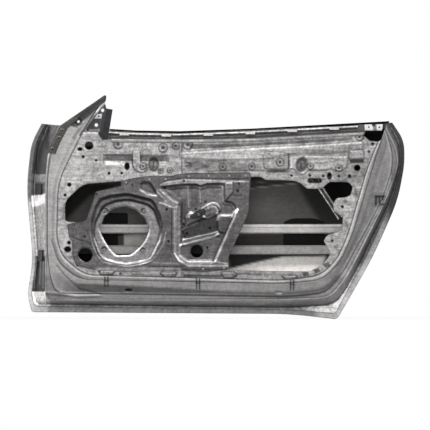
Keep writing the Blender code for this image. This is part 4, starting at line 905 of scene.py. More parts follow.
# %% The field's outline and holes
field_run = lines["field"][TIP_STEPS - 1:, :2]
FIELD_OUTLINE = np.concatenate((
    field_run,
    ((369.6, 140.6), (363.5, 135.2), (325.2, 137.4), (250.1, 141.7), (180.0, 142.6), (112.1, 141.9)),
    ((110.4, 139.0), (103.0, 139.8), (100.4, 136.8), (98.8, 134.2), (98.4, 131.6), (83.2, 131.9)),
))
OPENING = rounded((
    (65.1, 201.0), (65.1, 221.7), (76.8, 221.9), (77.4, 258.1), (98.0, 268.6), (156.8, 268.8),
    (165.9, 264.8), (225.8, 264.8), (229.4, 269.6), (268.0, 271.0), (310.0, 271.3), (318.4, 267.2),
    (326.4, 260.0), (330.8, 253.8), (327.6, 247.4), (323.4, 241.0), (327.4, 234.9), (337.1, 232.3),
    (342.0, 230.0), (343.0, 217.2), (337.0, 213.6), (333.8, 211.0), (333.0, 203.7), (336.5, 198.2),
    (346.4, 197.1), (350.4, 195.2), (352.9, 187.1), (348.3, 182.0), (329.7, 181.9), (325.9, 184.7),
    (322.0, 188.7), (307.2, 188.7), (303.7, 185.9), (299.1, 182.4), (292.6, 180.5), (265.7, 179.9),
    (260.7, 176.8), (250.9, 176.8), (247.5, 179.4), (186.0, 179.9), (180.0, 181.7), (136.0, 181.7),
    (132.6, 185.1), (121.2, 185.1), (121.2, 181.0), (83.2, 184.0),
), 0.28, 4)
FIELD_HOLES = (
    (89.1, 145.6, 3.9), (80.1, 149.0, 2.1, 1.6), (83.2, 156.7, 1.2), (96.2, 160.4, 0.9),
    (109.1, 173.2, 1.1), (121.7, 173.0, 1.0), (69.4, 184.6, 1.7), (65.1, 195.0, 1.2),
    (69.0, 242.6, 1.5), (67.8, 249.3, 3.3, 2.6), (127.1, 166.0, 2.3, 3.4), (87.8, 130.0, 1.1),
    (291.5, 175.5, 0.9), (309.7, 175.3, 0.9), (323.2, 175.9, 0.9), (329.4, 175.9, 2.2, 3.2),
    (338.9, 176.1, 1.0), (349.5, 176.1, 1.5), (357.2, 167.8, 2.9), (372.7, 143.8, 1.2),
    (368.8, 151.6, 1.1), (301.7, 165.3, 6.0, 8.2), (342.3, 206.6, 1.2), (332.0, 240.7, 1.0),
    (78.0, 265.4, 0.9), (100.0, 270.8, 0.8), (120.4, 273.6, 0.8),
)
SLOT = rounded(((307.9, 178.2), (321.5, 178.2), (321.5, 182.8), (307.9, 182.8)), 0.48)
SLOT_LINE = ((310.4, 180.5), (319.0, 180.5))


def field_solid(c, r):
    """Inside the outline and outside the opening, the holes and the slot."""
    gap = np.maximum(to_loop(FIELD_OUTLINE, c, r), -to_loop(OPENING, c, r))
    for spot in FIELD_HOLES:
        gap = np.maximum(gap, -to_round(spot, c, r))
    return np.maximum(gap, -to_loop(SLOT, c, r))


# %% [markdown]
# The pressed forms of the field are written down as outlines with a change of depth, and added one
# after another: the raised band and the groove of the belt, a pad, a box, a strap, tabs along the
# foot and round bosses.

# %% The field's pressed forms
BELT_BAND = rounded((
    (180.6, 153.4), (200, 152.2), (230, 150.3), (264, 148.3), (300, 146.8), (330, 145.0),
    (362.5, 142.5), (362.5, 149.6), (330, 152.6), (289, 153.6), (262, 159.0), (222, 159.4),
    (181.5, 158.2),
), 0.2)
BELT_GROOVE = rounded((
    (190, 144.6), (250, 143.7), (290, 141.2), (352, 137.6), (352, 140.6), (300, 144.0),
    (264, 145.6), (230, 147.8), (190, 149.6),
), 0.3)
PAD = rounded(((266.4, 152.0), (288.6, 154.4), (288.6, 168.6), (264.6, 168.6), (263.6, 156.6)), 0.2)
BOX = rounded(((349.4, 151.2), (363.4, 150.4), (363.9, 158.6), (349.0, 158.9)), 0.2)
STRAP = rounded((
    (132.6, 151.0), (140.2, 151.0), (140.6, 162.6), (146.4, 163.0), (147.0, 170.0), (143.0, 172.6),
    (136.0, 171.0), (132.6, 165.0),
), 0.3)
OVAL_POCKET = (153.6, 164.8, 5.0, 7.8)
TABS = (
    ((98.6, 270.8), (114.6, 270.8), (112.0, 274.4), (101.6, 274.4)),
    ((160.8, 272.8), (176.4, 272.8), (174.0, 276.8), (163.6, 276.8)),
    ((221.4, 273.8), (223.6, 272.3), (233.6, 272.3), (236.6, 274.6), (232.6, 277.6), (224.6, 277.6)),
    ((282.6, 276.0), (297.0, 276.0), (294.6, 279.4), (285.6, 279.4)),
)
BOSSES = (
    (118.2, 144.2, 4.0), (163.0, 147.9, 3.9), (175.8, 146.0, 3.1), (187.8, 144.8, 4.2),
    (143.0, 166.5, 2.6), (160.9, 171.1, 2.0), (170.0, 170.4, 2.2), (222.8, 167.0, 3.0),
    (251.8, 166.6, 3.0), (280.1, 162.4, 3.4), (359.5, 136.9, 3.3),
)
print("Pressed forms of the field:", 6 + len(TABS) + len(BOSSES))

# %% [markdown]
# Flat light would hide low forms, so shade is painted into their creases and highlights onto their
# crests, among real stains and smudges. Those marks are written as outlines and paths too, each with
# the factor by which it changes the brightness and the width over which it fades.

# %% The field's marks
STAINS = (
    ((302, 272.4), (308.6, 271.8), (309, 276.0), (304, 276.8)),
    ((313, 269.4), (318.6, 267.8), (320.6, 271.6), (315, 273.6)),
    ((322.6, 264.6), (327.6, 261.8), (330.8, 265.2), (326, 268.2)),
    ((183, 274.6), (222, 275.0), (222, 277.6), (183, 277.4)),
)
BRIGHT_BAND = ((181, 154.4), (262, 152.6), (262, 158.0), (181, 157.6))
BAND_CREST = (
    (182, 154.2), (200, 152.6), (230, 150.7), (264, 148.7), (300, 147.2), (330, 145.4), (362, 142.9),
)
# Lines along the forms: the band's crest painted darker against its highlight, the pad's bevel a painted
# highlight and its right edge painted shade, the rest lighter edges and darker smudges.
FIELD_STREAKS = (
    (BAND_CREST, 0.74, 1.0),
    (((216, 158.5), (263, 158.3)), 1.25, 0.6),
    (((181.6, 154.6), (183.4, 159.4)), 1.5, 1.4),
    (((185.6, 162.6), (189.6, 163.2), (191.6, 166.4)), 0.45, 0.7),
    (((186.4, 165.4), (190.6, 166.6)), 0.5, 0.6),
    (((208, 171.7), (222, 170.5), (264, 170.7)), 0.40, 0.9),
    (((230, 172.4), (251, 172.4)), 1.25, 0.5),
    (((288.5, 153.6), (288.2, 169.6)), 0.32, 0.8),
    (((262.4, 152.0), (271.4, 157.4)), 1.35, 0.6),
)
# Painted shade along the trough's top and left end, and a lighter line under the mirror's corner.
TROUGH_STREAKS = (
    (((104.0, 154.6), (132.0, 154.6)), 0.25, 0.8),
    (((103.6, 155.2), (103.6, 163.6)), 0.55, 0.8),
    (((82.6, 132.7), (98.8, 132.4)), 2.4, 0.7),
)
LATE_STREAKS = (
    (((181.6, 146), (182.6, 158)), 0.62, 1.0),
    (((168, 148), (182, 147)), 0.75, 2.0),
)
LATE_CLOUDS = (
    ((217, 166, 36, 6), 0.66, 7.0),
    ((352, 172, 16, 13), 0.72, 8.0),
    ((330, 168, 44, 16), 0.86, 12.0),
    ((352, 146, 14, 4), 0.70, 5.0),
    ((345, 201.4, 2.6, 2.0), 0.5, 1.2),
    ((75.5, 262, 9, 8), 0.80, 6.0),
)
BOX_SHADOW = ((350, 159.9), (363.9, 159.5), (363.9, 162.8), (350, 163.0))
SMUDGES = (
    ((184, 160.6), (190, 163.4)), ((186, 166.0), (196, 161.6)), ((191, 167.0), (203, 164.6)),
    ((196, 168.6), (208, 166.6)), ((212, 161.8), (226, 160.6)), ((232, 168.6), (246, 167.4)),
    ((101, 147), (105, 146)), ((64, 206), (63, 218)), ((184, 274.6), (214, 275.6)),
    ((290, 161), (296, 165)), ((316, 161), (333, 162.6)), ((344, 179), (356, 176)), ((354, 186), (357, 196)),
    ((346, 222), (350, 232)), ((335, 246), (340, 254)), ((268, 171.6), (286, 171.0)),
    ((236, 273.4), (262, 274.6)), ((85, 262.5), (92, 268)), ((133, 274.0), (152, 275.4)),
)
BELT_STAINS = (
    (218, 147.0, 7, 2.2), (236, 146.4, 9, 2.4), (258, 145.2, 10, 2.2), (281, 144.2, 6, 1.8),
    (303, 143.6, 9, 2.0), (326, 142.2, 8, 1.8), (344, 140.8, 7, 1.8), (196, 162.5, 6, 2.4),
    (205, 165.4, 5, 1.8), (228, 163.4, 6, 1.6), (243, 165.0, 5, 1.8), (312, 150.6, 14, 1.6),
    (340, 148.6, 9, 1.6),
)


def field_form(c, r):
    """Flat, less a trough 6 mm deep times one minus the share of its half width, and all the forms."""
    form = Pressing(c, r)
    # A painted shadow line along the field's outer edge, where the border steps under it.
    form.streak(to_loop(FIELD_OUTLINE, c, r), 0.1, 0.6)
    # The trough of the lever: a V across, that fades at both ends, with painted shade on its upper
    # wall and, on its lower wall, a painted highlight that turns to shade on the right.
    v = np.clip(1 - np.abs(r - 160.9) / np.where(r < 160.9, 6.2, 4.8), 0, 1)
    ends = step((c - 103.2) / 3) * step((170 - c) / 4)
    form.depth += 0.0060 * v * ends
    form.tone *= 1 - 0.50 * ends * step((r - 153.8) / 1.4) * step((161.6 - r) / 1.6)
    lower = ends * step((r - 159.4) / 1.0) * step((165.0 - r) / 1.6)
    form.tone *= 1 + lower * (0.42 * step((128 - c) / 20) - 0.30 * step((c - 128) / 14))
    form.streaks(TROUGH_STREAKS)
    form.press(to_loop(BELT_GROOVE, c, r), 0.0020, 2.2, 0.25)
    form.shade(to_loop(BELT_GROOVE, c, r), 0.49, 3.0)
    for c0, r0, a, b in BELT_STAINS:
        form.shade(to_round((c0, r0, a, b), c, r), 0.62, 2.4)
    form.press(to_loop(BELT_BAND, c, r), -0.0034, 2.6, 0.30)
    form.shade(to_loop(rounded(BRIGHT_BAND, 0.3), c, r), 1.15, 3.0)
    form.press(to_loop(PAD, c, r), -0.0034, 1.6, 0.45)
    form.shade(to_loop(PAD, c, r), 0.80, 1.6)
    form.streaks(FIELD_STREAKS)
    # Painted shadow under the pad.
    form.shade(to_round((276, 171.0, 12.0, 1.6), c, r), 0.22, 1.6)
    form.press(to_loop(BOX, c, r), -0.0048, 1.4, 0.4)
    form.shade(to_loop(BOX, c, r), 1.05, 1.4)
    form.shade(to_loop(BOX_SHADOW, c, r), 0.14, 1.0)
    form.bridge(to_loop(STRAP, c, r), -0.0024, 1.4)
    # The oval pocket painted darker inside, as shade, and its slot near black.
    gap = to_round(OVAL_POCKET, c, r)
    form.press(gap, 0.0050, 2.4, 0.5)
    form.shade(gap, 0.40, 2.0)
    form.streak(to_line(((153.6, 162.2), (153.4, 167.6)), c, r), 0.1, 0.8)
    # A painted shadow under each tab.
    for loop in TABS:
        gap = to_loop(loop, c, r)
        form.press(gap, -0.0050, 1.4, 0.75)
        form.shade(gap, 0.72, 1.2)
        form.streak(to_line(np.array(loop[-2:]) + (0, 1.2), c, r), 0.30, 0.9)
    for c0, r0, radius in BOSSES:
        form.boss(c0, r0, radius)
    for k, line in enumerate(SMUDGES):
        form.streak(to_line(line, c, r), 0.45 + 0.07 * (k % 3), 1.1 + 0.3 * (k % 2))
    for loop in STAINS:
        form.shade(to_loop(loop, c, r), 0.30, 1.6)
    form.streak(to_line(SLOT_LINE, c, r) - 2.6, 0.3, 0.6)
    for oval, factor, blur in LATE_CLOUDS:
        form.shade(to_round(oval, c, r), factor, blur)
    form.streaks(LATE_STREAKS)
    edge = to_loop(OPENING, c, r)
    form.streak(edge, 0.70, 0.9)
    form.ridge(edge, -0.0012, 1.0)
    # Round each hole, a painted shade line at its edge and a painted highlight ring just beyond.
    for spot in FIELD_HOLES:
        gap = to_round(spot, c, r)
        form.ridge(gap, -0.0008, 0.7)
        form.streak(gap - 0.1, 0.10, 0.5)
        form.streak(gap - 1.1 - 0.3 * np.sign(r - spot[1]), 1.18, 0.6)
    form.tone *= 1 - 0.25 * step((r - 266) / 6)
    return form.made()


fields = []
for name, c_low, c_high in (("panel_field_front", 55.0, 182.5), ("panel_field_rear", 181.6, 380.0)):
    box = (c_low, c_high, 130.0, 282.0)
    fields.append(plan_sheet(name, box, 0.6, field_form, field_solid, PANEL_SHEET, panel_metal, 0.2))

# %% [markdown]
# ## The module carrier
# The carrier is one pressed plate that closes the middle of the opening and holds the speaker and
# the window lift. The speaker sits in a bowl with two steps, and a deep basin beside it clears the
# lift. Its walls catch the light from above on their lower sides, so they are pressed with real
# slopes, and the dark stain is in the finish.

# %% The carrier's outlines
CARRIER = rounded((
    (121.2, 181.1), (133.5, 178.0), (141.5, 176.8), (153, 175.6), (172, 176), (175.9, 174.5),
    (190, 173), (218, 172.6), (250.2, 172.2), (250.9, 177.0), (250.4, 181.0), (249.1, 198.3),
    (248.5, 212.9), (243.4, 224.4), (234.4, 244.8), (228.4, 257.0), (229.0, 269.6), (204, 272.2),
    (182.6, 270.4), (141.2, 271.2), (118.3, 271.6), (95.7, 270.3), (76.5, 265.6), (72.4, 257),
    (72.2, 241), (69.0, 237), (67.2, 224.0), (86, 221), (94.1, 198), (95.7, 191.6), (121.2, 186),
), 0.2)
SEAT = rounded((
    (127.9, 193.1), (153.9, 199.7), (161, 215.5), (163.6, 228.3), (157.4, 251.2), (148.8, 262.4),
    (126.8, 266.5), (105.4, 262.4), (97.8, 255.8), (92.1, 243.6), (89.6, 225.7), (94.2, 207.9),
    (99.3, 198.7), (110.5, 195.1),
), 0.3)
RING = rounded((
    (128.9, 199.2), (148.3, 204.3), (154.9, 210.4), (160.5, 228.3), (159, 240), (151.8, 255.8),
    (146.2, 260.4), (127.3, 264), (106.9, 258.9), (101.3, 254.8), (93.7, 235.9), (94.7, 223.2),
    (102.9, 205.8), (115.6, 200.7),
), 0.3)
SPEAKER = rounded((
    (123.8, 206.2), (134.6, 209.0), (144.4, 217.2), (149.6, 229.4), (145.9, 239.2), (141, 246.2),
    (130.6, 255.2), (115.9, 255.2), (109.3, 247.9), (103.4, 238.4), (99.2, 229.3), (104.6, 216.0),
    (112.4, 209.2),
), 0.25)
BASIN = rounded((
    (160.6, 187.6), (178.6, 202.6), (177.2, 208.6), (176.8, 256.2), (187.4, 263.8), (214.6, 263.4),
    (237.4, 210.4), (235.0, 204.4), (231.0, 201.6), (225.4, 201.0), (225.0, 183.6), (207.2, 183.6),
    (200.9, 185.9), (196.0, 184.2), (183.5, 184.2), (166.7, 186.2),
), 0.2)
UPPER_STRIP = rounded((
    (160.0, 184.3), (166.7, 181.4), (183.5, 178.7), (204.9, 179.4), (225.7, 180.7), (249.1, 180.7),
    (249.1, 182.4), (225.7, 182.7), (206.9, 182.7), (200.9, 185.1), (196.2, 183.4), (183.5, 183.4),
    (166.7, 185.1), (160.7, 185.6),
), 0.2)
FRONT_BRACE = rounded((
    (156.6, 188.0), (160.6, 189.0), (173.0, 200.6), (179.0, 202.4), (179.0, 207.6), (172.8, 208.2),
    (159.4, 203.6), (159.0, 202.0), (164.6, 200.4), (157.2, 192.6),
), 0.15)
LEFT_WALL = rounded((
    (173.4, 206.0), (179.6, 205.0), (180.2, 256.0), (186.0, 261.6), (180.0, 262.4), (174.0, 254.0),
), 0.15)
POCKET = rounded(((181.4, 228.6), (198.6, 220.3), (217, 212.6), (217.4, 231.0), (184.0, 238.6)), 0.2)
BAND = rounded(((182.2, 239.2), (218.2, 230.6), (219.0, 235.6), (181.4, 246.0)), 0.25)
ISLAND_REAR = rounded((
    (201.6, 216.4), (201.0, 209.6), (206.6, 205.2), (213.6, 202.8), (220.4, 206.4), (220.4, 211.2),
    (217.4, 213.8), (207.5, 218.6), (203.4, 218.4),
), 0.35)
ISLAND_FRONT = rounded((
    (186.2, 222.4), (184.6, 216.4), (190.6, 211.6), (196.6, 214.0), (199.4, 219.4), (197.7, 222.4),
    (189.3, 226.0), (183.6, 229.8),
), 0.35)
TEARDROP = rounded((
    (139.8, 184.4), (143.0, 181.9), (149.6, 182.2), (153.6, 187.6), (156.6, 195.2), (149.6, 193.8),
    (141.6, 189.8),
), 0.35)
RAISED = rounded(((224.9, 183.0), (232.8, 182.8), (233.0, 192.4), (228.6, 197.0), (225.4, 200.4)), 0.2)
BLOCK = rounded(((218.2, 219.2), (223, 215.6), (232.8, 216.3), (225.0, 233.4), (218.2, 232.0)), 0.2)
CARRIER_HOLES = (
    (85.3, 255.2, 7.1), (196.8, 251.3, 6.2), (126.2, 183.4, 0.7), (132.4, 184.9, 0.8),
    (96.7, 194.1, 0.7), (164.7, 187.9, 0.9), (184.0, 180.7, 0.8), (166.7, 209.2, 0.9),
    (168.5, 241.2, 0.8), (195.8, 208.9, 0.7), (205.4, 201.6, 0.8), (184.0, 224.2, 0.9),
    (186.8, 233.4, 0.9), (209.9, 227.9, 0.9), (207.3, 247.5, 0.8), (238.9, 183.4, 0.9),
    (237.7, 190.6, 1.0), (74.8, 230.4, 0.9), (84.6, 236.4, 0.8),
)
CUPS = ((105.4, 210.9), (143.4, 211.4), (104.1, 249.4), (142.4, 250.5))
CARRIER_PRESSES = (
    (POCKET, 0.0050, 2.6, 0.20),
    (BAND, -0.0040, 2.2, 0.30),
    (ISLAND_REAR, -0.0060, 2.6, 0.15),
    (ISLAND_FRONT, -0.0060, 2.6, 0.15),
    (TEARDROP, 0.0060, 2.4, 0.40),
    (RAISED, -0.0030, 1.6, 0.15),
    (BLOCK, -0.0050, 2.0, 0.05),
)
print("Pressed forms of the carrier:", 3 + len(CARRIER_PRESSES), "and holes:", len(CARRIER_HOLES))

# %% [markdown]
# The carrier is almost black with grime, and what the eye reads on it are the highlights along its
# edges, painted on. They follow the crests and feet of the walls, so each is a path of its own with a
# gain and a width. The flat parts that catch more or less light are shaded by their outlines.

# %% The carrier's marks
CARRIER_SHADES = (
    (FRONT_BRACE, 1.9, 1.2),
    (LEFT_WALL, 2.15, 1.6),
    (((96, 267.6), (180, 267.6), (184, 275), (90, 275)), 2.1, 1.0),
    (((176.6, 206), (180.6, 206), (181.0, 256), (176.8, 254)), 1.7, 1.2),
    (POCKET, 0.34, 2.0),
    (RAISED, 1.75, 1.2),
    (((190.4, 185), (197.6, 187), (199.6, 206), (190.6, 209)), 0.58, 2.4),
    (((180.4, 199), (186.6, 199), (187.6, 214), (180.6, 222)), 0.60, 3.0),
    (((181, 186), (224, 186), (224, 200), (217, 204), (196, 208), (180, 208)), 1.18, 3.0),
    (((186, 242), (214, 236), (206, 262), (188, 262)), 0.85, 3.0),
    (UPPER_STRIP, 2.3, 0.9),
)
# Painted highlights along the walls' crests and lower sides, with two painted shade lines among them.
PAINTED_LIGHT_LINES = (
    (((167, 187.2), (184, 186.2), (200.6, 187.8), (207, 186.0), (222, 185.8)), 2.6, 2.2),
    (((222.6, 185.6), (222.6, 199.6)), 2.6, 2.2),
    (((224, 203.2), (231, 204.4), (235.0, 209.0)), 2.6, 2.2),
    (((160.4, 190.0), (173.0, 200.8), (178.4, 203.0)), 2.6, 0.8),
    (((157.2, 191.0), (164.7, 199.0), (166.4, 201.8)), 2.4, 0.7),
    (((159.4, 202.8), (163.6, 203.6), (172.1, 207.4)), 2.8, 0.8),
    (((174.4, 207.5), (174.4, 252)), 1.35, 0.7),
    (((174.8, 253.7), (178.8, 260.4), (188.2, 265.8), (227.7, 265.8)), 4.6, 0.8),
    (((180.3, 255.7), (187.5, 261.7), (215.6, 261.7), (227.7, 263.6)), 4.0, 0.8),
    (((237.6, 209.4), (226.4, 235), (215.3, 260.5)), 6.2, 0.9),
    (((217.2, 219.4), (217.9, 216.4), (221.0, 215.0), (232.4, 214.8), (237.0, 209.8)), 6.5, 1.1),
    (((183.6, 239.4), (190, 237.6), (216.4, 231.4), (219.2, 232.2)), 2.0, 0.6),
    (((180.6, 245.2), (186.8, 243.7), (214.9, 236.6), (218.3, 233.6)), 12.0, 0.9),
    (((180.6, 244.9), (183.5, 239.8)), 3.4, 0.7),
    (((201.7, 208.2), (211.6, 202.4), (216.4, 202.8), (220.0, 207.4), (220.2, 209.6)), 2.8, 0.6),
    (((202.0, 209.6), (212.0, 204.2), (216.2, 205.0), (218.6, 208.6)), 0.30, 0.5),
    (((202.2, 211.4), (211.8, 206.2), (215.3, 206.8), (217.8, 210.8)), 3.6, 0.7),
    (((202.9, 216.4), (207.4, 218.0), (217.6, 213.0)), 15.0, 0.9),
    (((186.6, 217.2), (190.2, 212.3), (196.4, 214.4)), 4.4, 0.8),
    (((188.6, 215.6), (191.4, 213.6), (195.0, 215.4)), 2.4, 0.6),
    (((182.6, 229.3), (189.5, 226.2), (197.6, 222.8)), 16.0, 0.9),
    (((140.2, 190.0), (147.6, 195.0), (156.4, 196.0)), 3.6, 0.9),
    (((139.4, 185.6), (142.4, 182.2), (148.0, 181.4)), 1.8, 0.7),
    (((160.4, 186.8), (160.9, 182.9), (184.9, 179.9), (203.8, 180.3), (245, 181.4)), 2.0, 0.6),
    (((92.3, 243.5), (97.4, 255.6), (103.1, 262.4), (116.5, 266.3), (129.3, 266.8), (140, 264.8)), 2.4, 0.6),
    (((94.2, 238.8), (98.7, 251.8), (102.8, 258.2), (116.5, 262.4), (127, 263.6), (140, 261.4)), 2.2, 0.6),
    (((95.2, 246.0), (98.2, 253.7), (103, 260.4), (116.5, 264.5), (128, 265.2), (140, 263)), 0.45, 0.6),
    (((140, 261.4), (150, 258.4), (154.2, 251.1), (159.8, 240.6), (161.1, 234.3)), 3.0, 0.7),
    (((140, 264.8), (152.1, 260.6), (157, 254.6), (164, 242.7), (165.8, 232)), 2.8, 0.6),
    (((153.5, 262.6), (164, 263.2), (178, 263.6)), 2.2, 0.6),
    (((90.6, 221), (90.2, 232), (92.8, 243)), 1.8, 0.8),
    (((160.6, 222), (159.6, 240), (152.6, 255.6)), 1.9, 0.9),
)
# Painted shade along the feet of walls and under edges.
PAINTED_SHADE_LINES = (
    ((158.4, 191.0), (165.6, 199.4)), ((171.6, 208), (171.6, 252)), ((182.0, 207), (182.2, 236)),
    ((160.2, 186.6), (166.7, 186.0), (183.5, 184.2), (196.0, 184.2), (200.9, 185.9), (206.9, 183.6),
     (225, 183.5)),
    ((160.4, 183.2), (166.7, 180.6), (183.5, 177.9), (204.9, 178.4), (249, 178.6)),
    ((182.6, 230.4), (185.6, 238.0), (217.0, 230.4)), ((235.4, 211.4), (213.0, 260.0)),
    ((225.8, 201.3), (233.8, 202.0)), ((233.8, 194.8), (238.0, 196.2), (242.0, 194.6)),
    ((229, 269.2), (182, 269.8)),
    ((141.4, 183.6), (147, 184.2), (153.0, 189.6)), ((100, 198.4), (110, 195.4), (127, 193.6), (153, 199.8)),
    ((70.4, 235.6), (78, 239.4), (88, 241.8), (91.5, 244.5)), ((150, 266.0), (183, 266.8)),
)
print("Marked paths of the carrier:", len(PAINTED_LIGHT_LINES) + len(PAINTED_SHADE_LINES))

# %% [markdown]
# With outlines and marks in tables, the pressing itself is short. The speaker's seat and ring and
# the basin's two steps come first, then the forms inside the basin, its two upright ribs, the cups
# of the speaker's screws, and the marks last.

# %% The carrier's pressing


def carrier_solid(c, r):
    """Inside the outline and outside the speaker's opening, the holes and the cups."""
    gap = np.maximum(to_loop(CARRIER, c, r), -to_loop(SPEAKER, c, r))
    for spot in CARRIER_HOLES:
        gap = np.maximum(gap, -to_round(spot, c, r))
    for c0, r0 in CUPS:
        gap = np.maximum(gap, 1.0 - np.hypot(c - c0, r - r0))
    return gap


def carrier_form(c, r):
    """Flat, with steps down to the seat, the ring and the basin, and the forms, ribs and cups."""
    form = Pressing(c, r, -0.0018)
    seat, ring = to_loop(SEAT, c, r), to_loop(RING, c, r)
    form.press(seat + 1.0, 0.0070, 2.8, 0.35)
    form.press(ring, 0.0070, 2.2, 0.35)
    form.ridge(seat - 0.6, 0.0008, 1.2)
    form.ridge(to_loop(SPEAKER, c, r), -0.0016, 1.0)
    basin = to_loop(BASIN, c, r)
    form.press(basin + 0.8, 0.0095, 3.0, 0.10)
    form.press(basin + 3.6, 0.0045, 2.2, 0.08)
    for outline, *how in CARRIER_PRESSES:
        form.press(to_loop(outline, c, r), *how)
    # Each upright rib carries a painted highlight along its crest.
    for column, low in ((187.6, 211), (199.6, 206)):
        gap = np.abs(c - column - 0.06 * (r - 185)) + 9 * (1 - step((r - 184) / 3) * step((low - r) / 3))
        form.ridge(gap, 0.0014, 0.9)
        form.streak(gap, 2.0, 0.7)
    for c0, r0 in CUPS:
        form.press(np.hypot(c - c0, r - r0) - 2.6, 0.0030, 1.5, 0.35)
    # The small holes are painted black, as the shade inside them.
    for spot in CARRIER_HOLES[2:]:
        form.shade(to_round(spot, c, r) - 0.5, 0.02, 0.5)
    for spot in CARRIER_HOLES[:2]:
        gap = to_round(spot, c, r)
        form.ridge(gap, -0.0012, 0.9)
        form.streak(gap, 0.6, 0.8)
    form.shade(to_round((168.4, 228, 3.6, 26), c, r), 0.82, 3.0)
    form.shade(to_round((227, 232, 7, 24), c, r), 0.78, 4.0)
    form.shade(ring + 1.0, 2.1, 2.0)
    form.streak(to_loop(CARRIER, c, r), 0.55, 0.8)
    form.shades(CARRIER_SHADES)
    # Painted shade on the upper walls of the seat and ring, which face down, and painted highlights on the
    # lower walls of the ring and the speaker's opening.
    upper = 1 - step((r - 205) / 24)
    form.streak(seat + 2.2, 1 - 0.55 * upper, 1.3)
    form.streak(ring + 1.0, 1 - 0.60 * upper, 1.3)
    lower = step((r - 232) / 14)
    form.streak(ring - 0.4, 1 + 2.6 * lower, 0.8)
    form.streak(to_loop(SPEAKER, c, r) - 0.7, 1 + 3.2 * step((r - 226) / 8), 0.8)
    form.streaks(PAINTED_LIGHT_LINES)
    for path in PAINTED_SHADE_LINES:
        form.streak(to_line(path, c, r), 0.36, 0.7)
    return form.made()


carrier = plan_sheet("carrier_pressing", (66.0, 252.0, 171.0, 273.4), 0.58, carrier_form,
                     carrier_solid, PANEL_SHEET, carrier_metal, 1.6)

# %% [markdown]
# ## The skin and its hem
# Only the inside of the skin shows, dim behind the beams, but the part is seen from all round, so
# the skin is a whole crowned sheet. Its edge is folded flat over the panel's flange: a strip that
# comes in from the edge, turns over a small radius and lies on the flange.

# %% The skin
SKIN_OUTLINE = np.concatenate((
    lines["skin"][:, :2],
    ((392.7, 122.4), (325.2, 126.2), (250.1, 130.3), (180.0, 132.7), (136.3, 132.1), (109.4, 130.5)),
    ((61.6, 125.5), (41.2, 123.5)),
))
BRIGHT_FLOOR = rounded((
    (228.0, 269.2), (254, 262.4), (282, 256.4), (327, 254.8), (322, 266), (309, 272.6), (228, 274),
), 0.25)
SPEAKER_LIGHT = ((117, 236.6), (126, 234.8), (149, 233.6), (149, 245.6), (118, 245.6))
# Painted light and shade on the skin's inside: pools of light behind the rear and speaker openings, and
# shade between the beams, under the belt reinforcement and behind the dark openings and holes.
SKIN_SHADES = (
    (BRIGHT_FLOOR, 7.0, 2.4),
    (SPEAKER_LIGHT, 3.6, 1.8),
    (((100, 233), (124, 233), (124, 246), (100, 246)), 0.15, 1.0),
    (((229, 235), (342, 234), (342, 246), (229, 246)), 0.35, 2.0),
    (((229, 255), (342, 253), (327, 256), (282, 257), (232, 268)), 0.30, 1.4),
    (((60, 183), (122, 183), (90, 196), (64, 222)), 0.15, 6.0),
    (((318, 180), (354, 180), (354, 198), (336, 205)), 0.05, 3.0),
    (((296, 181), (345, 181), (345, 226), (322, 226), (306, 200)), 0.25, 8.0),
    (((360, 128), (392, 128), (392, 144), (360, 144)), 0.04, 1.0),
    (((248, 180), (300, 179), (296, 182.6), (250, 187.6)), 0.40, 1.2),
    (((72, 240), (99, 240), (99, 268), (72, 268)), 0.05, 1.0),
    (((186, 240), (214, 240), (214, 262), (186, 262)), 0.05, 1.0),
    (((84, 138), (96, 138), (96, 152), (76, 152)), 0.05, 1.0),
)
# Painted highlights along the skin's crease below the belt reinforcement.
SKIN_STREAKS = (
    (((250, 188.4), (290, 184.0), (299, 182.8)), 2.6, 0.6),
    (((250, 183.4), (268, 181.4)), 3.6, 0.5),
)


def skin_solid(c, r):
    """Inside the skin's own edge."""
    return to_loop(SKIN_OUTLINE, c, r)


def skin_form(c, r):
    """The crowned sheet, painted dark as the cavity's shade, with painted pools of light behind the
    openings.
    """
    form = Pressing(c, r, skin_depth(c, r) - SKIN_SHEET)
    # Painted cavity shade, less towards the bottom, and lighter about one spot behind the rear opening.
    form.tone *= 0.235 + 0.22 * step((r - 195) / 40)
    form.tone *= 1 + 0.7 * bell(c - 262, 26) * bell(r - 205, 13)
    form.shades(SKIN_SHADES)
    form.streaks(SKIN_STREAKS)
    return form.made()


skin = plan_sheet("skin_sheet", (25.4, 406.0, 121.4, 320.4), 1.6, skin_form, skin_solid,
                  SKIN_SHEET, skin_metal, 0.3, back=1.2)

# %% [markdown]
# The hem lies on the flange and turns round the skin's edge. Its four lines are the flange's edge,
# the start of the turn and two steps over it.

# %% The hem
hem_rows = [lines[name].copy() for name in ("hem", "skin", "skin", "skin")]
inside = (hem_rows[0] - hem_rows[1])[:, :2]
inside /= np.linalg.norm(inside, axis=1)[:, None]
hem_rows[1][:, :2] += inside * 0.35
for row, lift in zip(hem_rows, (0.0034, 0.0034, 0.0018, -0.0002)):
    row[:, 2] -= lift
hem_grid, hem_place = loft(hem_rows, (7, 2, 2), 1)
hem_width = widths(hem_rows)


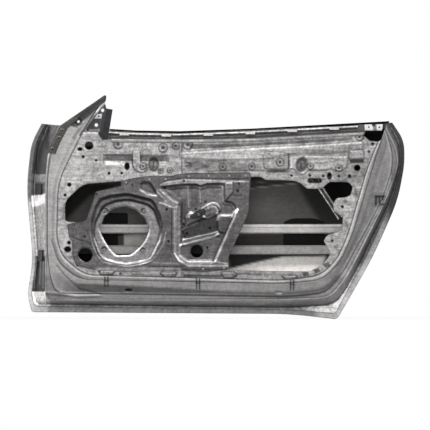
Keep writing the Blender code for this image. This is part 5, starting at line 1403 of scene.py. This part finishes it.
def hem_form(c, r):
    """The loft's depth, with painted shade beside the panel's flange and at the upper corners, darker along
    the foot, and lighter at the lower rear corner and the front.
    """
    form = Pressing(c, r, hem_grid[..., 2])
    inner = from_line(hem_place, 0, hem_width)
    # Painted shade along the joint with the panel's flange; further down, painted shade at the upper
    # corners.
    form.streak(inner, 0.25, 0.6)
    corner = step((c - 312) / 10) * step((r - 262) / 10)
    form.tone *= 1 + 0.35 * corner
    front = 1 - step((c - 46) / 4)
    form.tone *= 1 + 0.25 * front
    upper = front * (1 - step((r - 196) / 8))
    form.tone *= 1 - 0.60 * upper - 0.26 * upper * step((inner - 1.2) / 1.0) * step((2.8 - inner) / 1.0)
    form.tone *= 1 - 0.30 * step((r - 300) / 6) * (1 - corner) * (1 - front)
    high = step((c - 380) / 12) * (1 - step((r - 250) / 20))
    form.tone *= 1 - 0.87 * high
    return form.made()


hem = lofted_sheet("skin_hem", hem_grid, hem_form, HEM_SHEET, flange_metal, 0.5)

# %% [markdown]
# ## The belt
# Along the top the glass drops between two edges: the skin's belt reinforcement behind, with its
# bright flange and clips under the black seal, and the panel's own lip in front. The lip is a
# rounded profile carried along the field's top edge.

# %% The belt lip and the reinforcement
LIP_LINE = np.array(((111.6, 142.0), (180.0, 142.8), (250.1, 141.9), (325.2, 137.6), (363.3, 135.5)))


def along(line, count):
    """Even columns along a line, with the row read off it."""
    c = np.linspace(line[0, 0], line[-1, 0], count)
    return c, np.interp(c, line[:, 0], line[:, 1])


c_lip, r_lip = along(LIP_LINE, 240)
lip_rows = []
for rise, back in ((0.0, 0.0), (2.6, 0.001), (3.3, 0.004), (3.5, 0.020)):
    lip_rows.append(np.column_stack((c_lip, r_lip - rise, np.full(c_lip.shape, back))))
lip_grid, lip_place = loft(lip_rows, (6, 4, 8), 2)


def lip_form(c, r):
    """Brightest at the lip's crest as a painted highlight, and dim elsewhere as painted shade."""
    form = Pressing(c, r, lip_grid[..., 2])
    form.tone *= 0.40 + 0.35 * bell(lip_place[:, None] - 0.8, 0.5)
    return form.made()


lip = lofted_sheet("belt_lip", lip_grid, lip_form, PANEL_SHEET, panel_metal, 0.0)

BELT_LINE = np.array((
    (103.0, 130.2), (109.4, 130.5), (136.3, 132.1), (180.0, 132.7), (250.1, 130.3), (325.2, 126.2),
    (364.0, 124.2),
))
c_belt, r_belt = along(BELT_LINE, 260)
ON_SKIN, OFF_SKIN = 0.0020, 0.0228
BELT_PROFILE = (
    (0.6, ON_SKIN), (5.6, ON_SKIN), (8.1, OFF_SKIN), (42.0, OFF_SKIN), (44.5, ON_SKIN), (50.0, ON_SKIN),
)
belt_rows = []
for drop, lift in BELT_PROFILE:
    row = r_belt + drop
    belt_rows.append(np.column_stack((c_belt, row, skin_depth(c_belt, row) - lift)))
belt_grid = loft(belt_rows, (8, 5, 14, 4, 5), 2)[0]


def belt_form(c, r):
    """The loft's depth, with a bright flange, and painted shade under the seal, below the flange and far
    down.
    """
    form = Pressing(c, r, belt_grid[..., 2])
    drop = r - np.interp(c, BELT_LINE[:, 0], BELT_LINE[:, 1])
    # A bright flange at the top; painted shade below it, right under the seal and far down the web.
    form.tone *= 1 + 2.2 * step((2.5 - drop) / 0.5)
    form.tone *= 1 - 0.85 * step((drop - 2.2) / 0.5)
    form.tone *= 1 - 0.95 * step((0.9 - drop) / 0.3)
    form.tone *= 1 - 0.88 * step((drop - 12) / 4)
    return form.made()


belt = lofted_sheet("belt_reinforcement", belt_grid, belt_form, PANEL_SHEET, panel_metal, 0.4)

# %% [markdown]
# ## The rear belt plate
# A small plate is riveted on the panel where the trim's strap and the glass stop are bolted. It has
# an oval dished pocket and two bosses, and its lower edge waves round them.

# %% The belt plate
PLATE = rounded((
    (289.4, 155.6), (340, 156.4), (348.6, 156.0), (347.9, 161.4), (346.8, 167.6), (340, 172.1),
    (335.5, 171), (330.5, 169), (325.9, 170.6), (307.9, 170.8), (303, 175.0), (297.2, 173.4),
    (293.6, 169.4), (289.4, 169.2),
), 0.25)
PLATE_BOSSES = ((310.4, 166.4, 2.6), (338.9, 168.4, 2.9))


def plate_form(c, r):
    """Flat with a turned-back edge, an oval dish and two bosses."""
    form = Pressing(c, r, -0.0034)
    edge = to_loop(PLATE, c, r)
    # A painted shade line on the turned-back edge and a painted highlight just inside it.
    form.ridge(edge, -0.0020, 0.9)
    form.streak(edge, 0.55, 0.8)
    form.streak(edge + 1.6, 1.15, 0.7)
    oval = np.hypot(c - 301.7 + 0.12 * (r - 165), (r - 165.3) * 0.72) - 5.6
    form.press(oval, 0.0050, 2.6, 0.5)
    # The dish painted darker inside, as shade, and its slot near black.
    form.shade(oval, 0.45, 2.4)
    form.press(oval + 3.0, -0.0012, 1.2, 0.2)
    form.streak(to_line(((300.7, 163.2), (300.9, 168.2)), c, r), 0.1, 0.9)
    for c0, r0, radius in PLATE_BOSSES:
        form.boss(c0, r0, radius)
    form.shade(to_round((322, 158.4, 26, 1.6), c, r), 0.75, 2.0)
    form.streak(to_line(((289.6, 156.0), (297.4, 156.2)), c, r), 0.22, 0.6)
    form.shade(to_loop(((290, 157), (296.6, 157), (295.4, 168.4), (290, 168.4)), c, r), 1.2, 1.2)
    return form.made()


def punched(outline, holes=()):
    """The signed distance of an outline with round holes, as a function of column and row."""
    def solid(c, r):
        gap = to_loop(outline, c, r)
        for spot in holes:
            gap = np.maximum(gap, -to_round(spot, c, r))
        return gap
    return solid


plate = plan_sheet("belt_plate_pressing", (288.0, 350.0, 154.0, 176.4), 0.55, plate_form,
                   punched(PLATE), PANEL_SHEET, panel_metal, 0.9)

# %% [markdown]
# ## Small pressings at the corners
# The mirror's bracket hangs behind the field in the front corner, and a small tabbed plate closes
# the rear end of the belt. Both are flat plates, so an outline and a depth are all that they need.

# %% The corner pressings
MIRROR_SHEET, STRIP_SHEET, CLAMP_SHEET = 0.0025, 0.0012, 0.0030
MIRROR_PLATE = rounded((
    (105.3, 103.5), (92.0, 121.4), (79.1, 138.6), (80.6, 146.2), (99.6, 146.2), (101.8, 135.0),
    (106.8, 110.0),
), 0.08)
MIRROR_HOLES = ((102.7, 110.3, 1.5), (96.4, 125.0, 1.6), (98.9, 116.2, 0.9), (87.8, 130.0, 1.1))
MIRROR_TAB = ((93.4, 114.2), (102.0, 114.0), (101.2, 118.8), (91.8, 118.8))
MIRROR_LEDGE = ((84.0, 129.4), (99.4, 128.8), (99.2, 132.0), (82.6, 132.0))
REAR_PLATE = rounded((
    (357.7, 124.4), (357.7, 134.3), (364.9, 134.3), (365.3, 130.5), (382.3, 130.5), (383.0, 124.0),
    (375.5, 124.2), (375.1, 126.4), (372.5, 126.4), (372.1, 124.2),
), 0.15)
REAR_PLATE_HOLES = ((369.0, 126.9, 0.9), (379.6, 127.2, 0.9))


def node_face(name):
    """Depth of a node's face towards the cabin."""
    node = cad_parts[name]
    return min((node.matrix_world @ vertex.co).y for vertex in node.data.vertices) - FIELD_Y


def mirror_form(c, r):
    """A flat plate with a raised tab painted bright, a painted highlight on its ledge and painted highlight
    rims round its holes.
    """
    form = Pressing(c, r, node_face("mirror_bracket"))
    form.press(to_loop(MIRROR_TAB, c, r), -0.0015, 1.0, 0.3)
    form.shade(to_loop(MIRROR_TAB, c, r), 11.0, 0.8)
    form.shade(to_loop(MIRROR_LEDGE, c, r), 5.0, 1.0)
    # The uncut holes are painted near black, as the shade in their bores.
    for spot in MIRROR_HOLES[2:]:
        form.shade(to_round(spot, c, r), 0.02, 0.7)
    form.shade(to_loop(((82, 132), (102, 132), (102, 148), (78, 148)), c, r), 0.5, 2.0)
    form.streak(to_line(((103.6, 106.4), (100.8, 121), (99.0, 131)), c, r), 2.2, 0.5)
    form.streak(to_line(((97.2, 109.5), (84, 129)), c, r), 0.3, 0.8)
    # The plate seen through the field's big hole is painted dark, as the shade inside the hole.
    form.shade(to_round((*FIELD_HOLES[0][:2], 5.2), c, r), 0.15, 1.0)
    for spot in MIRROR_HOLES[:2]:
        form.streak(to_round(spot, c, r) - 0.4, 3.0, 0.6)
    return form.made()


def rear_plate_form(c, r):
    """A flat bright plate, dark where the seal's end and the strap cover it."""
    form = Pressing(c, r, node_face("rear_belt_bracket"))
    form.shade(to_loop(((355, 122), (364.6, 122), (365.4, 136), (355, 136)), c, r), 0.12, 1.0)
    form.shade(to_loop(((372.8, 122), (376.6, 122), (377, 131.5), (373.6, 131.5)), c, r), 0.30, 1.0)
    form.streak(to_line(((365, 130.4), (383, 130.4)), c, r), 0.4, 0.8)
    return form.made()


white_metal = sheet_metal("white_metal", (0.62, 0.61, 0.61), (0.68, 0.67, 0.66), 0.3, 0.4, 0.2)
dark_plate = sheet_metal("dark_plate", (0.027, 0.026, 0.028), (0.036, 0.035, 0.036), 0.3, 0.45, 0.9)
olive_plate = sheet_metal("olive_plate", (0.045, 0.044, 0.039), (0.056, 0.054, 0.047), 0.25, 0.5, 0.9)

mirror = plan_sheet("mirror_bracket_plate", (78.0, 108.0, 102.0, 147.2), 0.4, mirror_form,
                    punched(MIRROR_PLATE, MIRROR_HOLES[:2]), MIRROR_SHEET, dark_plate, 0.3)
rear_plate = plan_sheet("rear_belt_plate", (356.8, 384.0, 123.2, 135.2), 0.4, rear_plate_form,
                        punched(REAR_PLATE, REAR_PLATE_HOLES), PANEL_SHEET, white_metal, 0.3)

# %% [markdown]
# The cover strip of the front corner lies on the border between the ridge and the shut face. It is
# a piece of the border's own grid, moved out by its thickness and cut finer along.

# %% The corner strip
STRIP_HOLES = ((62.2, 130.2, 0.8), (59.2, 137.8, 1.0), (52.4, 149.0, 1.1))


def finer(grid, times):
    """The same surface, with each step along it cut into several."""
    count = grid.shape[1]
    places = np.linspace(0, count - 1, (count - 1) * times + 1)
    low = np.minimum(places.astype(int), count - 2)
    share = (places - low)[:, None]
    return grid[:, low] * (1 - share) + grid[:, low + 1] * share


STRIP_TOP, STRIP_FOOT, STRIP_LIFT = 117, 154, 0.0028
ridge_level = sum(BORDER_COUNTS[:2])
ridge_c, ridge_r = border_grid[ridge_level, :, :2].T
chosen = np.flatnonzero((ridge_r > STRIP_TOP) & (ridge_r < STRIP_FOOT) & (ridge_c < 80))
strip_grid = finer(border_grid[ridge_level - 5:, chosen[0]:chosen[-1] + 1], 3)
strip_grid[..., 2] -= STRIP_LIFT


def strip_form(c, r):
    """The border's depth, with a lighter line along its crest and a painted glint over each screw."""
    form = Pressing(c, r, strip_grid[..., 2])
    share = np.linspace(0, 1, c.shape[0])[:, None] * np.ones(c.shape)
    form.streak(share - 0.80, 1.9, 0.07)
    form.tone *= 1 - 0.6 * bell(share, 0.06) - 0.5 * bell(1 - share, 0.08)
    for c0, r0, radius in STRIP_HOLES:
        gap = np.hypot(c - c0, r - r0)
        form.streak(gap - 1.3, 1 + 4.5 * step((r0 - r) / 1.2), 0.45)
        form.shade(gap - radius, 0.06, 0.6)
    form.streak(to_line(((47, 153.6), (54, 154.6)), c, r), 4.0, 0.8)
    return form.made()


strip = lofted_sheet("corner_strip", strip_grid, strip_form, STRIP_SHEET, olive_plate, 0.4)

# %% [markdown]
# The window lift's clamp is a small cast piece with a hexagon nut at its middle. A flat plate
# with one raised ring is enough at this size.

# %% The clamp
CLAMP = rounded((
    (190.2, 217.4), (192.6, 213.8), (197.6, 210.6), (203.6, 208.4), (206.2, 210.2), (205.4, 213.6),
    (200.8, 217.8), (194.0, 219.4),
), 0.3)
CLAMP_NUT = (198.6, 214.6)


def clamp_form(c, r):
    """A flat casting with a raised nut, its ring bright and its bore painted dark as shade."""
    form = Pressing(c, r, node_face("regulator_clamp"))
    nut = np.hypot(c - CLAMP_NUT[0], r - CLAMP_NUT[1])
    form.tone *= 0.45
    form.press(nut - 1.8, -0.0010, 0.8, 0.3)
    form.shade(nut - 1.5, 5.0, 0.8)
    form.shade(nut - 0.6, 0.3, 0.6)
    form.streak(nut - 2.2, 0.2, 0.5)
    form.streak(to_line(((192.4, 215.6), (203.6, 209.8)), c, r), 2.6, 0.5)
    return form.made()


clamp = plan_sheet("regulator_clamp_plate", (189.4, 207.2, 207.4, 220.4), 0.35, clamp_form,
                   punched(CLAMP), CLAMP_SHEET, dark_plate, 0.4)

# %% [markdown]
# The rail that guides the rear edge of the glass is a channel: its two lips carry painted highlights
# and its floor painted shade. It is a strip along the rail's own line, with lips turned towards the cabin.

# %% The glass rail
RAIL_ENDS = np.array(((313.4, 177.0), (340.4, 218.5)))
RAIL_HALF, RAIL_LIP = 2.35, 0.0050
rail_side = np.array((RAIL_ENDS[1, 1] - RAIL_ENDS[0, 1], RAIL_ENDS[0, 0] - RAIL_ENDS[1, 0]))
rail_side /= np.hypot(*rail_side)
rail_share, rail_across = np.meshgrid(np.linspace(0.01, 0.99, 160), np.linspace(-1, 1, 25))
rail_run = RAIL_ENDS[0] + rail_share[..., None] * (RAIL_ENDS[1] - RAIL_ENDS[0])
rail_grid = rail_run + rail_across[..., None] * RAIL_HALF * rail_side


def rail_form(c, r):
    """Lips that rise as the fourth power of the distance across."""
    form = Pressing(c, r, node_face("rear_glass_rail") + RAIL_LIP * (1 - rail_across**4))
    # Painted highlights on the lips and painted shade on the floor, near black above row 187, where the rail
    # is seen through the slot.
    form.tone *= 0.08 + 2.2 * bell(np.abs(rail_across) - 0.8, 0.16)
    form.shade(r - 187.0, 0.01, 2.0)
    return form.made()


rail = lofted_sheet("glass_rail_channel", rail_grid, rail_form, PANEL_SHEET, panel_metal, 0.3)

# %% [markdown]
# ## Riding, replacing and finishing
# The new sheets stand for ten solids, from the inner panel to the lift's clamp, and those solids stay
# in the physics. Every other solid keeps its own shape and gets the finish of its material.

# %% Attach the pieces
for piece, node, slot in (
    *((piece, "inner_panel", "bare_metal") for piece in (*borders, shut, *fields, lip)),
    (carrier, "carrier_plate", "carrier_metal"),
    (skin, "outer_skin", "bare_metal"),
    (hem, "outer_skin", "bare_metal"),
    (belt, "outer_belt_reinforcement", "bare_metal"),
    (plate, "belt_plate", "bare_metal"),
    (mirror, "mirror_bracket", "dark_steel"),
    (rear_plate, "rear_belt_bracket", "bare_metal"),
    (strip, "a_pillar_strip", "coated_steel"),
    (rail, "rear_glass_rail", "zinc"),
    (clamp, "regulator_clamp", "dark_steel"),
):
    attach(piece, "root")
    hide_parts(node)

FINISHES = (
    (("upper_impact_beam",), beam_metal),
    (("lower_impact_beam",), shaded_low_beam_metal),
    (("belt_clip",), bright_metal),
    # The beams' front ends are painted black, as the shade of the closed cavity.
    (("upper_beam_front", "lower_beam_front"), black_pad_and_cavity_shade),
    (("upper_beam", "lower_beam", "latch_plate"), dull_metal),
    (("carrier_rivet", "speaker_nut", "regulator_bolt"), zinc_metal),
    (("front_glass_channel", "upper_hinge", "lower_hinge"), dark_coat),
    (("front_damping_pad", "rear_damping_pad"), black_pad_and_cavity_shade),
    (("belt_seal",), seal_black),
)
for name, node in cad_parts.items():
    for starts, finish in FINISHES:
        if name.startswith(starts) and node.material_slots:
            node.material_slots[0].material = finish
            break
print("Nodes:", len(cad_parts))

# %% [markdown]
# ## Camera, light and floor
# The door is looked at square on from far away, with a long lens, so that columns and rows keep
# their spacing over the door's depth. A wide soft lamp above and in front makes upward walls bright,
# a weak one fills, and the white of the background is only what the camera and the gloss see.

# %% Camera and light
VIEW_X, VIEW_Y, VIEW_Z = 0.6376, -0.05, -0.0932
VIEW_WIDTH, DISTANCE, SENSOR = 1.5476, 60.0, 36
AIM = (0.64, 0.0, -0.1)
camera = bpy.data.cameras.new("view")
camera.sensor_width = SENSOR
camera.lens = SENSOR * DISTANCE / VIEW_WIDTH
camera.clip_end = 200
viewer = put("view", camera)
viewer.location = (VIEW_X, VIEW_Y - DISTANCE, VIEW_Z)
viewer.rotation_euler = (math.radians(90), 0, 0)
bpy.context.scene.camera = viewer


def lamp(name, place, size, watts):
    """A rectangular area lamp that faces the door's middle."""
    light = bpy.data.lights.new(name, "AREA")
    light.shape, light.size, light.size_y, light.energy = "RECTANGLE", *size, watts
    holder = put(name, light)
    holder.location = place
    direction = np.array(AIM) - np.array(place)
    turn = math.atan2(direction[0], -direction[1])
    tilt = math.atan2(np.hypot(direction[0], direction[1]), -direction[2])
    holder.rotation_euler = (tilt, 0, math.pi - turn)


lamp("overhead", (0.64, -1.7, 2.1), (2.4, 1.0), 92)
lamp("front_fill", (0.2, -3.4, 0.2), (2.0, 1.6), 20)

WHITE = (1, 1, 1, 1)
board = Board(bpy.data.worlds.new("studio"))
dim = board.node("ShaderNodeBackground", {}, {"Color": (0.36, 0.36, 0.37, 1)})
white = board.node("ShaderNodeBackground", {}, {"Color": WHITE})
choice = board.node("ShaderNodeMixShader", {}, {0: board.seen(), 1: dim, 2: white})
board.end("ShaderNodeOutputWorld", choice)
bpy.context.scene.world = board.owner

# %% [markdown]
# The floor is white to the camera but keeps a little of its shaded self, so the door's shadow stays
# faintly on it.

# %% Floor
board = Board(bpy.data.materials.new("floor_white"))
plain = board.node("ShaderNodeBsdfDiffuse", {}, {"Color": (0.8, 0.8, 0.8, 1)})
glow = board.node("ShaderNodeEmission", {}, {"Color": WHITE, "Strength": 1.0})
choice = board.node("ShaderNodeMixShader", {}, {0: 0.93 * board.seen(), 1: plain, 2: glow})
board.end("ShaderNodeOutputMaterial", choice)
low_z = float(cad_box[0][2])
mesh = bpy.data.meshes.new("floor")
corners = ((-1.6, -1.6), (2.9, -1.6), (2.9, 1.6), (-1.6, 1.6))
mesh.from_pydata([(x, y, low_z) for x, y in corners], [], [(0, 1, 2, 3)])
mesh.materials.append(board.owner)
floor = put("floor", mesh)

bpy.context.scene.view_settings.view_transform = "Standard"
